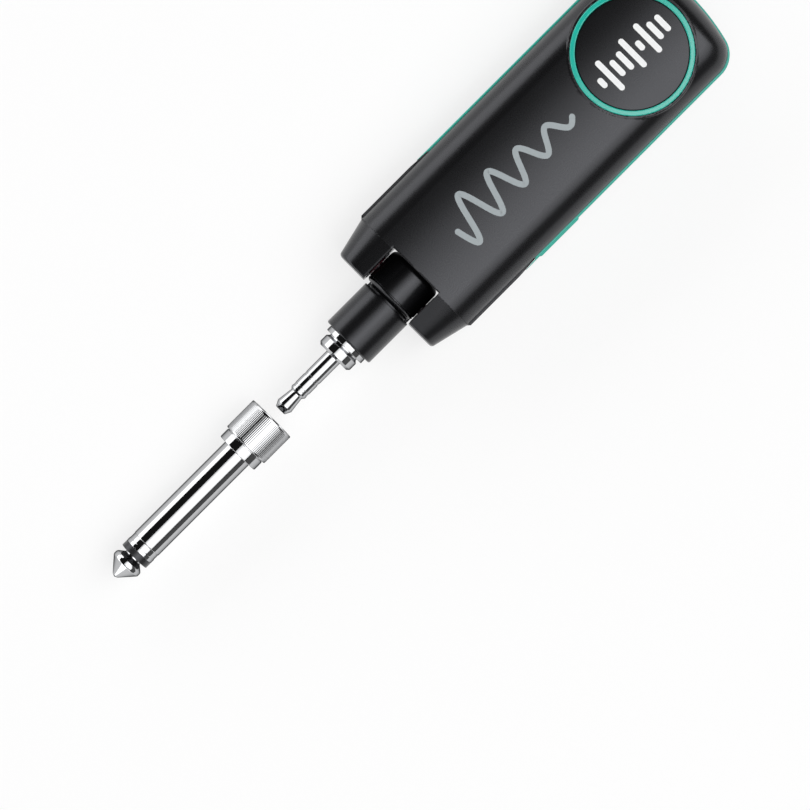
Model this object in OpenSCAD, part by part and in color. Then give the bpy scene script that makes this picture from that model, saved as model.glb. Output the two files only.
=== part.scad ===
// Clip-in wireless transmitter for an electric guitar.
// A pillow-shaped body with a coloured side band carries a folding 3.5 mm plug in a fork.
// A 6.35 mm adapter slides onto the plug, and is drawn pulled off in line with it.
// The back face lies on Z = 0, X runs towards the plug and Z points out of the front face.

/* [Body] */
// Length from the far end to the tips of the fork
body_l = 81.95; // [78:0.05:100]
// Width over the side band
body_w = 29.4; // [28.6:0.1:36]
// Thickness from the back face to the crest of the front
body_t = 16; // [15.6:0.1:20]
// Radius of the shoulders between face and side
shoulder_r = 7; // [5.5:0.1:7.4]
// Radius of the crown across the front face
crown_r = 56; // [45:1:120]
// Thickness of the shells
wall = 1.4; // [1.2:0.05:1.45]
// Thickness of the far end
end_wall = 5; // [4.5:0.1:6]
// Corner radius at the far end, seen from the front
end_r = 5.4; // [3.5:0.1:6]
// How far the far end bulges out at its middle
end_bulge = 2.6; // [1:0.1:3]

/* [Side band] */
// Height of the side band
band_h = 3.4; // [3.2:0.1:4.6]
// Thickness of the side band
band_t = 2; // [1.6:0.05:2.2]
// Distance from the tips of the fork to the end of the side band
band_back = 25.8; // [24.5:0.1:30]
// How far the band stands out from the shells
band_proud = 0.3; // [0.1:0.05:0.5]
// Length over which the cheek swells up to the width of the band
cheek_ramp = 4.5; // [2:0.1:7]
// Share of that length which the thinning end of the band covers
band_lap = 0.6; // [0.3:0.05:0.7]

/* [Fork] */
// Reach of the fork beyond the hinge axis
fork_reach = 3.8; // [3:0.1:5]
// Step in from the body to the nose on each side
nose_step = 0.2; // [0.2:0.05:1]
// Taper of the nose on each side
nose_taper = 1.85; // [0.5:0.05:2]
// Length of the tapered nose
nose_l = 7.7; // [5:0.1:10]
// Step down from the front face to the nose
nose_dip = 0.1; // [0.05:0.05:0.3]
// Drop of the front face along the nose
nose_drop = 1.9; // [0.4:0.1:2]
// Radius of the shoulders at the tips of the fork
fork_r = 4.6; // [4:0.1:7]
// Distance from the hinge axis to the bottom of the slot in the front face
slot_back = 4.3; // [3.6:0.1:5]
// Distance from the hinge axis to the end of the recess in the back face
recess_back = 13.2; // [12.9:0.1:14.5]
// Depth of the recess
recess_d = 6.5; // [6.3:0.1:7.2]
// Height of the hinge axis above the back face
hinge_z = 5.9; // [5.7:0.1:6.5]
// Offset of the fork's slot towards the button side
knuckle_y = 0.1; // [0:0.05:0.3]
// Offset of the plug towards the button side
plug_y = 0.45; // [0:0.05:0.5]
// Gap between the knuckle and each prong
knuckle_gap = 0.25; // [0.25:0.05:0.5]
// Diameter of the hinge pins
pin_d = 2.4; // [2:0.1:3]
// Depth of each pin in the knuckle
pin_in_knuckle = 2.3; // [1.5:0.1:2.5]
// Depth of each pin in the fork
pin_in_fork = 3; // [2:0.1:3.5]
// Diameter of the friction washers
washer_d = 4.4; // [4:0.1:7]
// Thickness of the friction washers
washer_t = 0.19; // [0.1:0.01:0.2]

/* [Plug] */
// Diameter of the knuckle between the prongs
knuckle_d = 11.6; // [11:0.1:11.8]
// Distance from the hinge axis to the front edge of the knuckle
knuckle_l = 3.2; // [2.6:0.1:3.6]
// Chamfer of that front edge
knuckle_c = 0.55; // [0.2:0.05:0.8]
// Reach of the knuckle's tail behind the hinge axis
knuckle_tail = 4.6; // [4.4:0.05:5]
// Rounding of the tail's edge
tail_r = 1.2; // [1:0.1:2]
// Radius of the space that the tail swings in
cavity_r = 8.15; // [7.8:0.05:8.3]
// Reach of the sleeve's trough behind the hinge axis
trough_l = 3.4; // [3:0.1:4.2]
// Wall of the trough
trough_t = 1.2; // [0.8:0.1:1.4]
// Depth of the trough's edges below the hinge axis
trough_z = 1.9; // [1.7:0.1:2.5]
// Width of the seam between knuckle and sleeve
seam_w = 0.75; // [0.4:0.05:1.2]
// Depth of the seam
seam_d = 0.6; // [0.4:0.05:0.9]
// Diameter of the sleeve
sleeve_d = 11.2; // [10.6:0.1:11.3]
// Distance from the hinge axis to the end of the sleeve
sleeve_l = 14.4; // [12:0.1:15]
// Bore of the sleeve behind the jack
sleeve_bore = 6; // [5:0.1:7]
// Diameter of the metal base ring
base_ring_d = 9.1; // [8.4:0.1:9.8]
// Length of the metal base ring
base_ring_l = 1.1; // [0.8:0.1:2]
// Groove between base ring and flange
flange_gap = 0.25; // [0.1:0.05:0.5]
// Diameter of the flange
flange_d = 7.9; // [7:0.1:8.4]
// Length of the flange
flange_l = 2.6; // [2:0.1:3]
// Chamfer of the flange
flange_c = 0.5; // [0.2:0.05:0.8]

/* [Jack] */
// Diameter of the plug
jack_d = 3.5; // [3.4:0.05:3.6]
// Length of the sleeve contact in front of the flange
jack_sleeve_l = 5.5; // [5:0.1:6]
// Length of the ring contact
jack_ring_l = 2.3; // [2:0.1:2.6]
// Width of each insulating ring
jack_gap = 0.55; // [0.4:0.05:0.7]
// Length of the tip contact
jack_tip_l = 5.4; // [5:0.1:6]
// Diameter of the neck behind the tip
jack_neck_d = 2.7; // [2.4:0.05:3]
// Diameter of the rod that carries the tip
jack_rod_d = 0.9; // [0.8:0.05:1]
// Wall of each tube inside the plug
jack_tube_t = 0.19; // [0.15:0.01:0.2]

/* [Adapter] */
// Gap between the plug and the mouth of the adapter when pulled off
adapter_gap = 2.2; // [0.5:0.1:20]
// Diameter of the adapter's shaft
shaft_d = 6.35; // [6.3:0.01:6.4]
// Length of the adapter's shaft
shaft_l = 26.5; // [24:0.1:30]
// Diameter of the knurled collar
collar_d = 10; // [9.4:0.1:11]
// Length of the knurled collar
collar_l = 7.15; // [6:0.05:8]
// Number of ridges of the knurl
knurl_n = 90; // [60:2:110]
// Depth of the knurl
knurl_d = 0.14; // [0.08:0.02:0.2]
// Diameter of the step collar
step_d = 9.1; // [8.6:0.1:9.3]
// Length of the step collar
step_l = 2.2; // [1.5:0.1:3]
// Diameter of the spigot in the knurled collar
spigot_d = 7; // [6.4:0.1:7.6]
// Width of the shallow groove near the tip
groove_w = 1.25; // [0.8:0.05:1.6]
// Depth of the shallow groove
groove_d = 0.05; // [0.03:0.01:0.1]
// Distance from the groove to the end of the shaft
groove_back = 0.85; // [0.4:0.05:2]
// Length of the insulating ring behind the tip
insulator_l = 1.3; // [1:0.1:2]
// Diameter of the widest part of the tip
tip_d = 6.3; // [6.1:0.05:6.35]
// Length of the tip
tip_l = 5.4; // [4.8:0.1:6]
// Diameter of the neck behind the tip
tip_neck_d = 3.7; // [3.2:0.1:4.4]
// Diameter of the rod that carries the tip
tip_rod_d = 1.6; // [1.2:0.1:1.8]
// Diameter of the insulating tube round the rod
tip_tube_d = 2.6; // [2.4:0.1:3]

/* [Badges] */
// Diameter over the badge ring
badge_d = 23.7; // [20:0.1:25]
// Distance from the far end to the badge centre
badge_back = 16.2; // [15:0.05:20]
// Width of the badge ring
badge_ring_w = 1; // [0.6:0.05:1.6]
// Depth of the badge pocket
badge_pocket = 0.8; // [0.6:0.05:0.9]
// How far the front ring stands out of its rim
badge_ring_proud = 0.2; // [0:0.05:0.4]
// Thickness of the badge disc
badge_disc_t = 0.7; // [0.4:0.05:0.8]
// Rim of the shell round each badge
badge_rim = 0.5; // [0.4:0.05:0.8]

/* [Button] */
// Length of the side button
button_l = 10.5; // [8:0.1:12]
// Height of the side button
button_h = 2.4; // [1.8:0.1:2.6]
// How far the button stands out of the band
button_proud = 0.25; // [0.2:0.05:0.5]
// Distance from the button to the end of the band
button_back = 0.9; // [0.8:0.1:4]
// Travel of the button
button_travel = 0.4; // [0.2:0.05:0.5]
// Thickness of the flange that keeps the button in
button_flange_t = 0.5; // [0.4:0.05:0.7]
// Overlap of that flange behind the band
button_flange = 0.4; // [0.3:0.05:0.5]

/* [Port] */
// Width of the charging port
port_w = 9.25; // [9.1:0.05:9.6]
// Height of the charging port
port_h = 3.3; // [3.2:0.05:3.5]
// Rim of the charging port
port_rim = 0.48; // [0.36:0.02:0.54]
// Wall between the port and the recess
port_wall = 0.5; // [0.4:0.05:1]
// Width of the tongue in the port
tongue_w = 6.7; // [6.4:0.05:6.8]
// Thickness of the tongue
tongue_t = 0.7; // [0.6:0.02:0.8]
// How far the tongue stays behind the port's mouth
tongue_back = 0.8; // [0.5:0.1:1.5]
// Depth of the block that carries the tongue
tongue_base = 1; // [0.8:0.1:1.5]

/* [Electronics] */
// Height of the circuit board above the back face
board_z = 6.3; // [6.2:0.05:6.5]
// Thickness of the circuit board
board_t = 1; // [0.8:0.1:1.2]
// Gap between the circuit board and the side walls
board_gap = 0.6; // [0.4:0.05:1]
// Distance from the battery to the plug end of the circuit board
battery_back = 3; // [2:0.1:10]
// Gap between the battery and the screw heads
battery_gap = 0.6; // [0.4:0.1:2]
// Thickness of the battery
battery_t = 4.2; // [3:0.1:4.3]
// Length, width and height of the radio shield
can_size = [14, 12, 2.4]; // [1:0.1:16]
// Length, width and height of the antenna
antenna_size = [3, 10, 1.2]; // [1:0.1:12]
// Length, width and height of the button switch
switch_size = [6.2, 3.2, 1.5]; // [1:0.1:8]
// Diameter of each signal wire
wire_d = 1; // [0.8:0.05:1.1]
// Diameter of the screws
screw_d = 1.5; // [1.2:0.1:1.7]
// Diameter of the screw heads
screw_head_d = 2.6; // [2.2:0.1:2.7]
// Height of the screw heads
screw_head_h = 0.7; // [0.5:0.1:0.9]
// Depth of each screw in its post
screw_grip = 4; // [2.5:0.1:4.5]
// Diameter of the posts
post_d = 3.2; // [2.8:0.1:3.3]
// Distance from the screws to the long edges of the circuit board
screw_rim = 1.1; // [1:0.05:1.3]

/* [Clearances] */
// Clearance between fixed pieces
fit_gap = 0.05; // [0.02:0.01:0.1]
// Radial clearance of turning and sliding pieces
run_gap = 0.06; // [0.03:0.01:0.1]
// Clearance round pieces that swing past each other
move_gap = 0.3; // [0.2:0.05:0.4]

/* [Hidden] */
$fn = 96;

black = [0.05, 0.05, 0.055];
teal = [0.05, 0.62, 0.53];
chrome = [0.82, 0.83, 0.85];
gold = [0.8, 0.62, 0.25];
red = [0.42, 0.05, 0.09];
green = [0.06, 0.3, 0.16];

// Length of a thin slice that a hull starts from, and of an overshoot through a face
slice = 0.01;
over = 1;
// Step that keeps the crown and the shoulders from meeting in an exact tangent
crown_step = 0.01;

tip_x = 41.1;
far_x = tip_x - body_l;
nose_x = tip_x - nose_l;
hinge_x = tip_x - fork_reach;
slot_x = hinge_x - slot_back;
recess_x = hinge_x - recess_back;
slot_w = knuckle_d + 2 * knuckle_gap;
slot_y0 = knuckle_y - slot_w / 2;

shell_hw = body_w / 2 - band_proud;
nose_hw = shell_hw - nose_step;
fork_hw = nose_hw - nose_taper;
bulge_r = (body_w * body_w / 4 + end_bulge * end_bulge) / (2 * end_bulge);
bulge_x = far_x + bulge_r;
part_z = body_t / 2;
band_z0 = part_z - band_h / 2;
band_x = tip_x - band_back;
band_inner_y = body_w / 2 - band_t;

badge_x = far_x + badge_back;
badge_pocket_d = badge_d + 2 * fit_gap;
boss_d = badge_pocket_d + 2 * badge_rim;
boss_lift = 0.05;
badge_disc_d = badge_d - 2 * badge_ring_w - 2 * fit_gap;

button_x1 = band_x - button_back;
button_x0 = button_x1 - button_l;
button_gap = 0.15;
button_outer_y = body_w / 2 + button_proud;
button_flange_y1 = band_inner_y - button_gap;
button_inner_y = button_flange_y1 - button_flange_t;

port_x = recess_x - port_wall - port_h / 2;
port_z0 = 0.1;
port_cut_gap = 0.1;
port_back = 1;

// The inner space ends at the tail of the port, and a shallow space runs on above the recess
inner_x0 = far_x + end_wall;
inner_x1 = port_x - port_h / 2 - port_back;
tail_x1 = hinge_x - cavity_r - wall;
tail_side = 4.4;
tail_hw = shell_hw - tail_side;
tail_z0 = recess_d + wall;
tail_z1 = body_t - 2 * wall;

board_x0 = inner_x0 + board_gap;
board_x1 = inner_x1 - board_gap;
board_hw = band_inner_y - board_gap;
board_tail_x1 = recess_x - port_wall - fit_gap;
board_tail_edge = 0.8;
board_tail_hw = port_w / 2 + board_tail_edge;
board_corner = 2;
board_top = board_z + board_t;
battery_inset = 1.5;
battery_x0 = board_x0 + battery_inset;
battery_l = board_x1 - battery_back - battery_x0;
battery_z0 = wall + 2 * fit_gap;
battery_r = 1.5;
screw_inset = 5;
screw_y = board_hw - screw_rim;
battery_w = 2 * (screw_y - screw_head_d / 2 - battery_gap);
screw_edge = 1.9;
screw_xs = [board_x0 + screw_inset, board_x1 - screw_edge];
post_bore = screw_d + 2 * fit_gap;
can_shift = 3;
can_x = (board_x0 + board_x1) / 2 - can_shift;
antenna_inset = 4.5;
antenna_x = board_x0 + antenna_inset;
switch_tip = 0.45;
switch_y1 = button_inner_y - button_travel - switch_tip - fit_gap;
board_notch_y = button_inner_y - button_travel - fit_gap;

wire_y = slot_w / 2 + pin_in_fork - wire_d / 2;
wire_z = board_z - wire_d / 2 - fit_gap;
wire_start = 1.2;
wire_side = max(0, screw_y - wire_y - abs(knuckle_y) - wire_d / 2);
wire_clear = sqrt(max(0, pow(screw_head_d / 2 + fit_gap, 2) - pow(wire_side, 2)));
wire_x0 = max(battery_x0 + battery_l + wire_start, screw_xs[1] + wire_clear);
wire_x1 = hinge_x - pin_d / 2 - fit_gap;

// Stations along the plug axis, measured from the hinge axis
ring_x0 = sleeve_l;
ring_x1 = sleeve_l + base_ring_l;
flange_x0 = ring_x1 + flange_gap;
flange_x1 = flange_x0 + flange_l;
sleeve_x1 = flange_x1 + jack_sleeve_l;
rear_x1 = sleeve_x1 + jack_gap;
contact_x1 = rear_x1 + jack_ring_l;
front_x1 = contact_x1 + jack_gap;
jack_x1 = front_x1 + jack_tip_l;
bore_x0 = knuckle_l + seam_w;
jack_inset = 2;
jack_x0 = bore_x0 + jack_inset;
jack_tail_d = 4;
jack_tail_step = 0.4;
jack_step = 0.02;
rod_hole_d = jack_rod_d + 2 * jack_step;
front_tube_d = rod_hole_d + 2 * jack_tube_t;
ring_hole_d = front_tube_d + 2 * jack_step;
ring_tube_d = ring_hole_d + 2 * jack_tube_t;
rear_hole_d = ring_tube_d + 2 * jack_step;
rear_tube_d = rear_hole_d + 2 * jack_tube_t;
sleeve_hole_d = rear_tube_d + 2 * jack_step;
insulator_sink = 0.06;
insulator_ring_d = jack_d - 2 * insulator_sink;

// Stations along the adapter, measured from its mouth
mouth_x = jack_x1 + adapter_gap;
mouth_bore_d = flange_d + 2 * run_gap;
seat_gap = 0.2;
mouth_bore_l = flange_gap + flange_l + seat_gap;
socket_d = jack_d + 2 * run_gap;
socket_l = jack_x1 - ring_x1 + move_gap;
step_x1 = collar_l + step_l;
shaft_x1 = step_x1 + shaft_l;
insulator_x1 = shaft_x1 + insulator_l;
adapter_l = insulator_x1 + tip_l;
cup_l = 1.6;

// Rounded rectangle of half width hw, from height 0 to t
module rounded_2d(hw, t, r) {
    translate([-hw + r, 0]) square([2 * (hw - r), t]);
    translate([-hw, r]) square([2 * hw, t - 2 * r]);
    for (side = [-1, 1], z = [r, t - r]) translate([side * (hw - r), z]) circle(r);
}

// Cross-section of the body: flat back, round shoulders and crowned front
module section_2d(hw, t, r, crown) {
    shoulder_y = hw - r;
    shoulder_z = t - crown + sqrt((crown - r) * (crown - r) - shoulder_y * shoulder_y) + crown_step;
    crest_y = shoulder_y * crown / (crown - r);
    intersection() {
        translate([0, t - crown]) circle(crown, $fn = 4 * $fn);
        union() {
            rounded_2d(hw, shoulder_z + r, r);
            translate([-crest_y, r]) square([2 * crest_y, t]);
        }
    }
}

// Extrudes a cross-section along X
module along_x(x0, x1) {
    translate([x0, 0, 0]) rotate([90, 0, 90]) linear_extrude(x1 - x0) children();
}

// Outline from the front, with its bulged far end and the step to the nose, drawn in by inset
module plan_2d(inset) {
    hw = body_w / 2 - inset;
    r = end_r - inset;
    corner_y = hw - r;
    corner_x = bulge_x - sqrt((bulge_r - end_r) * (bulge_r - end_r) - corner_y * corner_y) - crown_step;
    intersection() {
        translate([bulge_x, 0]) circle(bulge_r - inset, $fn = 4 * $fn);
        union() {
            polygon([
                [corner_x, -hw], [nose_x - nose_step, -hw], [nose_x, nose_step - hw],
                [nose_x, hw - nose_step], [nose_x - nose_step, hw], [corner_x, hw]
            ]);
            translate([far_x - over, -corner_y]) square([body_l / 2, 2 * corner_y]);
            for (side = [-1, 1]) translate([corner_x, side * corner_y]) circle(r);
        }
    }
}

// Round shoulders that follow the bulge of the far end
module end_solid() {
    lift = 0.2;
    translate([bulge_x, 0, -lift])
        rotate_extrude()
            intersection() {
                rounded_2d(bulge_r - band_proud, body_t + 2 * lift, shoulder_r);
                square([2 * bulge_r, 2 * body_t]);
            }
    translate([0, -body_w, -lift]) cube([nose_x, 2 * body_w, body_t + 2 * lift]);
}

// The body behind the nose
module main_solid() {
    intersection() {
        along_x(far_x, nose_x) section_2d(shell_hw, body_t, shoulder_r, crown_r);
        linear_extrude(body_t) plan_2d(band_proud);
        end_solid();
    }
}

// The nose narrows to the fork and its front face drops
module nose_solid() {
    hull() {
        along_x(nose_x - slice, nose_x)
            section_2d(nose_hw, body_t - nose_dip, shoulder_r, crown_r, $fn = 32);
        along_x(tip_x - slice, tip_x)
            section_2d(fork_hw, body_t - nose_drop, fork_r, crown_r, $fn = 32);
    }
}

// Cheeks carry the line of the side band on to the nose
module cheeks() {
    chamfer = nose_step + band_proud;
    for (side = [0, 1]) mirror([0, side, 0])
        translate([0, 0, band_z0])
            linear_extrude(band_h)
                polygon([
                    [band_x, shell_hw - wall], [band_x, shell_hw],
                    [band_x + cheek_ramp, body_w / 2], [nose_x - chamfer, body_w / 2],
                    [nose_x, nose_hw], [nose_x, shell_hw - wall]
                ]);
}

// Round bar along X whose top is the crown of the front face, raised by lift
module crown_bar(lift) {
    along_x(far_x, tip_x) translate([0, body_t - crown_r]) circle(crown_r + lift, $fn = 4 * $fn);
}

// Upright cylinder at the badge, from the parting plane out through the front
module badge_bar(d) {
    translate([badge_x, 0, part_z]) cylinder(d = d, h = body_t);
}

// Round boss that carries the badges over the shoulders
module badge_boss() {
    intersection() {
        translate([badge_x, 0, 0]) cylinder(d = boss_d, h = 2 * body_t);
        crown_bar(boss_lift);
    }
}

// The closed outer form of both shells together
module body_solid() {
    main_solid();
    nose_solid();
    cheeks();
    badge_boss();
}

// Space for the electronics
module inner_space() {
    translate([0, 0, wall])
        along_x(inner_x0, inner_x1)
            section_2d(shell_hw - wall, body_t - 2 * wall, shoulder_r - wall, crown_r - wall);
    translate([inner_x1 - over, -board_tail_hw - fit_gap, wall])
        cube([board_tail_x1 + fit_gap - inner_x1 + over, 2 * (board_tail_hw + fit_gap), tail_z1 - wall]);
    translate([inner_x1 - over, -tail_hw, tail_z0])
        cube([tail_x1 - inner_x1 + over, 2 * tail_hw, tail_z1 - tail_z0]);
}

// Space that the side band fills
module band_space() {
    translate([0, 0, band_z0 - fit_gap])
        linear_extrude(band_h + 2 * fit_gap)
            difference() {
                translate([far_x - over, -body_w]) square([band_x + fit_gap - far_x + over, 2 * body_w]);
                plan_2d(band_t + fit_gap);
            }
}

// Slot, cavity and recess that the plug swings through
module fold_space() {
    translate([slot_x, slot_y0, -over]) cube([tip_x - slot_x + over, slot_w, body_t + 2 * over]);
    translate([recess_x, slot_y0, -over]) cube([tip_x - recess_x + over, slot_w, recess_d + over]);
    translate([hinge_x, slot_y0 + slot_w, hinge_z]) rotate([90, 0, 0]) cylinder(r = cavity_r, h = slot_w);
}

// Upright slot with round ends, for the port
module port_solid(w, h, z0, z1) {
    translate([port_x, 0, z0])
        linear_extrude(z1 - z0) {
            translate([-h / 2, -(w - h) / 2]) square([h, w - h]);
            for (side = [-1, 1]) translate([0, side * (w - h) / 2]) circle(d = h);
        }
}

// Upright cylinder at each screw
module at_screws() {
    for (x = screw_xs, side = [-1, 1]) translate([x, side * screw_y, 0]) children();
}

// Shape turned about the plug axis, from a profile of radius and station
module turned() {
    rotate([0, 90, 0]) rotate_extrude() children();
}

// Ring profile between two diameters and two stations
module ring_2d(d0, d1, x0, x1) {
    translate([d0 / 2, x0]) square([(d1 - d0) / 2, x1 - x0]);
}

// Places a piece of the knuckle, whose origin is on the hinge axis
module at_knuckle() {
    translate([hinge_x, knuckle_y, hinge_z]) children();
}

// Places a piece of the plug, whose origin is on the hinge axis
module at_plug() {
    translate([hinge_x, plug_y, hinge_z]) children();
}

// Places a piece of the adapter, whose origin is at its mouth
module at_mouth() {
    at_plug() translate([mouth_x, 0, 0]) children();
}

// Cylinders along the hinge axis on both sides, between two distances from the middle
module hinge_rods(d, y0, y1) {
    for (side = [0, 1]) mirror([0, side, 0])
        translate([0, y0, 0]) rotate([-90, 0, 0]) cylinder(d = d, h = y1 - y0);
}

module front_shell() {
    color(black)
        difference() {
            union() {
                difference() {
                    body_solid();
                    inner_space();
                    translate([far_x - over, -body_w, -over])
                        cube([body_l + 2 * over, 2 * body_w, part_z + over + fit_gap / 2]);
                }
                at_screws() translate([0, 0, board_top]) cylinder(d = post_d, h = tail_z1 - board_top);
            }
            band_space();
            fold_space();
            difference() {
                badge_bar(badge_pocket_d);
                crown_bar(-badge_pocket);
            }
            at_screws() translate([0, 0, -over]) cylinder(d = post_bore, h = board_top + screw_grip + over);
        }
}

module back_shell() {
    color(black)
        difference() {
            body_solid();
            inner_space();
            translate([far_x - over, -body_w, part_z - fit_gap / 2])
                cube([body_l + 2 * over, 2 * body_w, body_t]);
            band_space();
            fold_space();
            translate([badge_x, 0, -over]) cylinder(d = badge_pocket_d, h = over + badge_pocket);
            port_solid(port_w + 2 * port_cut_gap, port_h + 2 * port_cut_gap, -over, board_z);
            at_knuckle()
                hinge_rods(pin_d + 2 * fit_gap, slot_w / 2 - over, slot_w / 2 + pin_in_fork + fit_gap);
            for (side = [-1, 1])
                translate([inner_x1 - over, knuckle_y + side * wire_y, wire_z])
                    rotate([0, 90, 0])
                        cylinder(d = wire_d + 4 * fit_gap, h = hinge_x - inner_x1 + over);
        }
}

// Plan of what lies beyond one end of the band, which thins out over the cheek
module behind_band_2d() {
    lap_x = band_x + band_lap * cheek_ramp;
    lap_y = shell_hw + fit_gap;
    polygon([
        [band_x, -over], [band_x, lap_y], [lap_x, lap_y + band_lap * band_proud], [lap_x, body_w],
        [tip_x, body_w], [tip_x, -over]
    ]);
}

module side_band() {
    color(teal)
        difference() {
            translate([0, 0, band_z0])
                linear_extrude(band_h)
                    difference() {
                        plan_2d(0);
                        plan_2d(band_t);
                        for (side = [0, 1]) mirror([0, side, 0]) behind_band_2d();
                    }
            translate([button_x0 - button_gap, 0, part_z - button_h / 2 - button_gap])
                cube([button_l + 2 * button_gap, body_w, button_h + 2 * button_gap]);
        }
}

module front_badge_ring() {
    color(teal)
        intersection() {
            difference() {
                badge_bar(badge_d);
                badge_bar(badge_d - 2 * badge_ring_w);
                crown_bar(-badge_pocket);
            }
            crown_bar(badge_ring_proud);
        }
}

module front_badge_disc() {
    color(black)
        intersection() {
            difference() {
                badge_bar(badge_disc_d);
                crown_bar(-badge_pocket);
            }
            crown_bar(badge_disc_t - badge_pocket);
        }
}

module back_badge_ring() {
    edge = 0.25;
    color(teal)
        translate([badge_x, 0, badge_pocket])
            mirror([0, 0, 1])
                rotate_extrude()
                    polygon([
                        [badge_d / 2 - badge_ring_w, 0], [badge_d / 2, 0],
                        [badge_d / 2, badge_pocket - fit_gap - edge],
                        [badge_d / 2 - edge, badge_pocket - fit_gap],
                        [badge_d / 2 - badge_ring_w, badge_pocket - fit_gap]
                    ]);
}

module back_badge_disc() {
    color(black)
        translate([badge_x, 0, badge_pocket - badge_disc_t]) cylinder(d = badge_disc_d, h = badge_disc_t);
}

// Outline of the circuit board, with a notch behind the button and a tail over the port
module board_2d() {
    notch = button_flange + 3 * button_gap;
    difference() {
        polygon([
            [board_x0, board_corner - board_hw], [board_x0 + board_corner, -board_hw],
            [board_x1, -board_hw], [board_x1, -board_tail_hw], [board_tail_x1, -board_tail_hw],
            [board_tail_x1, board_tail_hw], [board_x1, board_tail_hw], [board_x1, board_hw],
            [board_x0 + board_corner, board_hw], [board_x0, board_hw - board_corner]
        ]);
        translate([button_x0 - notch, board_notch_y]) square([button_l + 2 * notch, body_w]);
    }
}

module circuit_board() {
    color(green)
        difference() {
            translate([0, 0, board_z]) linear_extrude(board_t) board_2d();
            at_screws() cylinder(d = post_bore, h = body_t);
        }
}

module battery() {
    color([0.75, 0.75, 0.78])
        translate([battery_x0, 0, battery_z0])
            along_x(0, battery_l) rounded_2d(battery_w / 2, battery_t, battery_r);
}

module radio_shield() {
    color(chrome)
        translate([can_x - can_size.x / 2, -can_size.y / 2, board_top]) cube(can_size);
}

module antenna() {
    color([0.85, 0.85, 0.8])
        translate([antenna_x, -antenna_size.y / 2, board_top]) cube(antenna_size);
}

module button_switch() {
    x = (button_x0 + button_x1) / 2;
    tip = [2.6, switch_tip, 0.9];
    color([0.2, 0.2, 0.2]) {
        translate([x - switch_size.x / 2, switch_y1 - switch_size.y, board_top]) cube(switch_size);
        translate([x - tip.x / 2, switch_y1, board_top + (switch_size.z - tip.z) / 2]) cube(tip);
    }
}

module board_screws() {
    color(chrome)
        at_screws() {
            translate([0, 0, board_z - screw_head_h]) cylinder(d = screw_head_d, h = screw_head_h);
            translate([0, 0, board_z]) cylinder(d = screw_d, h = board_t + screw_grip - fit_gap);
        }
}

module signal_wires() {
    color(red)
        for (side = [-1, 1])
            translate([wire_x0, knuckle_y + side * wire_y, wire_z])
                rotate([0, 90, 0]) cylinder(d = wire_d, h = wire_x1 - wire_x0);
}

module usb_port_shell() {
    color(chrome)
        difference() {
            port_solid(port_w, port_h, port_z0, board_z);
            port_solid(port_w - 2 * port_rim, port_h - 2 * port_rim, -over, board_z + over);
        }
}

module usb_port_tongue() {
    gap = 2 * (port_rim + fit_gap);
    color([0.12, 0.12, 0.13]) {
        port_solid(port_w - gap, port_h - gap, board_z - tongue_base, board_z);
        translate([port_x - tongue_t / 2, -tongue_w / 2, port_z0 + tongue_back])
            cube([tongue_t, tongue_w, board_z - port_z0 - tongue_back]);
    }
}

module hinge_pins() {
    color(chrome)
        at_knuckle() hinge_rods(pin_d, knuckle_d / 2 - pin_in_knuckle, slot_w / 2 + pin_in_fork);
}

module friction_washers() {
    color(red)
        at_knuckle()
            difference() {
                hinge_rods(washer_d, slot_w / 2 - washer_t, slot_w / 2);
                hinge_rods(pin_d + 2 * fit_gap, 0, slot_w);
            }
}

module power_button() {
    color(teal) {
        translate([button_x0, button_inner_y, part_z - button_h / 2])
            cube([button_l, button_outer_y - button_inner_y, button_h]);
        translate([button_x0 - button_flange, button_inner_y, part_z - button_h / 2 - button_flange])
            cube([button_l + 2 * button_flange, button_flange_t, button_h + 2 * button_flange]);
    }
}

// Sleeve of the plug, with a trough that runs on under the knuckle
module plug_housing() {
    edge = 0.3;
    block = 4 * knuckle_d;
    color(black)
        at_plug()
            difference() {
                turned()
                    polygon([
                        [0, -trough_l], [sleeve_d / 2, -trough_l], [sleeve_d / 2, sleeve_l - edge],
                        [sleeve_d / 2 - edge, sleeve_l], [0, sleeve_l]
                    ]);
                translate([bore_x0 - block, -block / 2, -trough_z]) cube(block);
                turned() ring_2d(0, sleeve_d - 2 * trough_t, -trough_l - over, bore_x0);
                turned() ring_2d(0, sleeve_bore, bore_x0 - over, sleeve_l + over);
            }
}

// Knuckle between the prongs, with a rounded tail and a seat for the trough
module knuckle_core() {
    tail_x = tail_r - knuckle_tail;
    block = 4 * knuckle_d;
    color(black)
        difference() {
            union() {
                at_knuckle()
                    turned() {
                        ring_2d(0, knuckle_d - 2 * tail_r, -knuckle_tail, 0);
                        translate([knuckle_d / 2 - tail_r, tail_x]) circle(tail_r);
                        polygon([
                            [0, tail_x], [knuckle_d / 2, tail_x], [knuckle_d / 2, knuckle_l - knuckle_c],
                            [knuckle_d / 2 - knuckle_c, knuckle_l], [0, knuckle_l]
                        ]);
                    }
                at_plug() turned() ring_2d(0, sleeve_d - 2 * seam_d, 0, bore_x0);
            }
            at_plug()
                difference() {
                    translate([-trough_l - fit_gap, -block / 2, fit_gap - trough_z - block]) cube(block);
                    turned() ring_2d(0, sleeve_d - 2 * trough_t - 2 * fit_gap, -knuckle_d, knuckle_d);
                }
            at_knuckle()
                hinge_rods(pin_d + 2 * run_gap, knuckle_d / 2 - pin_in_knuckle - run_gap, knuckle_d);
        }
}

module plug_base_ring() {
    tail_l = 6.9;
    color(chrome)
        at_plug()
            turned() {
                ring_2d(jack_tail_d + 2 * fit_gap, base_ring_d, ring_x0, ring_x1);
                ring_2d(jack_tail_d + 2 * fit_gap, sleeve_bore - 2 * fit_gap, ring_x0 - tail_l, ring_x0);
            }
}

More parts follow.
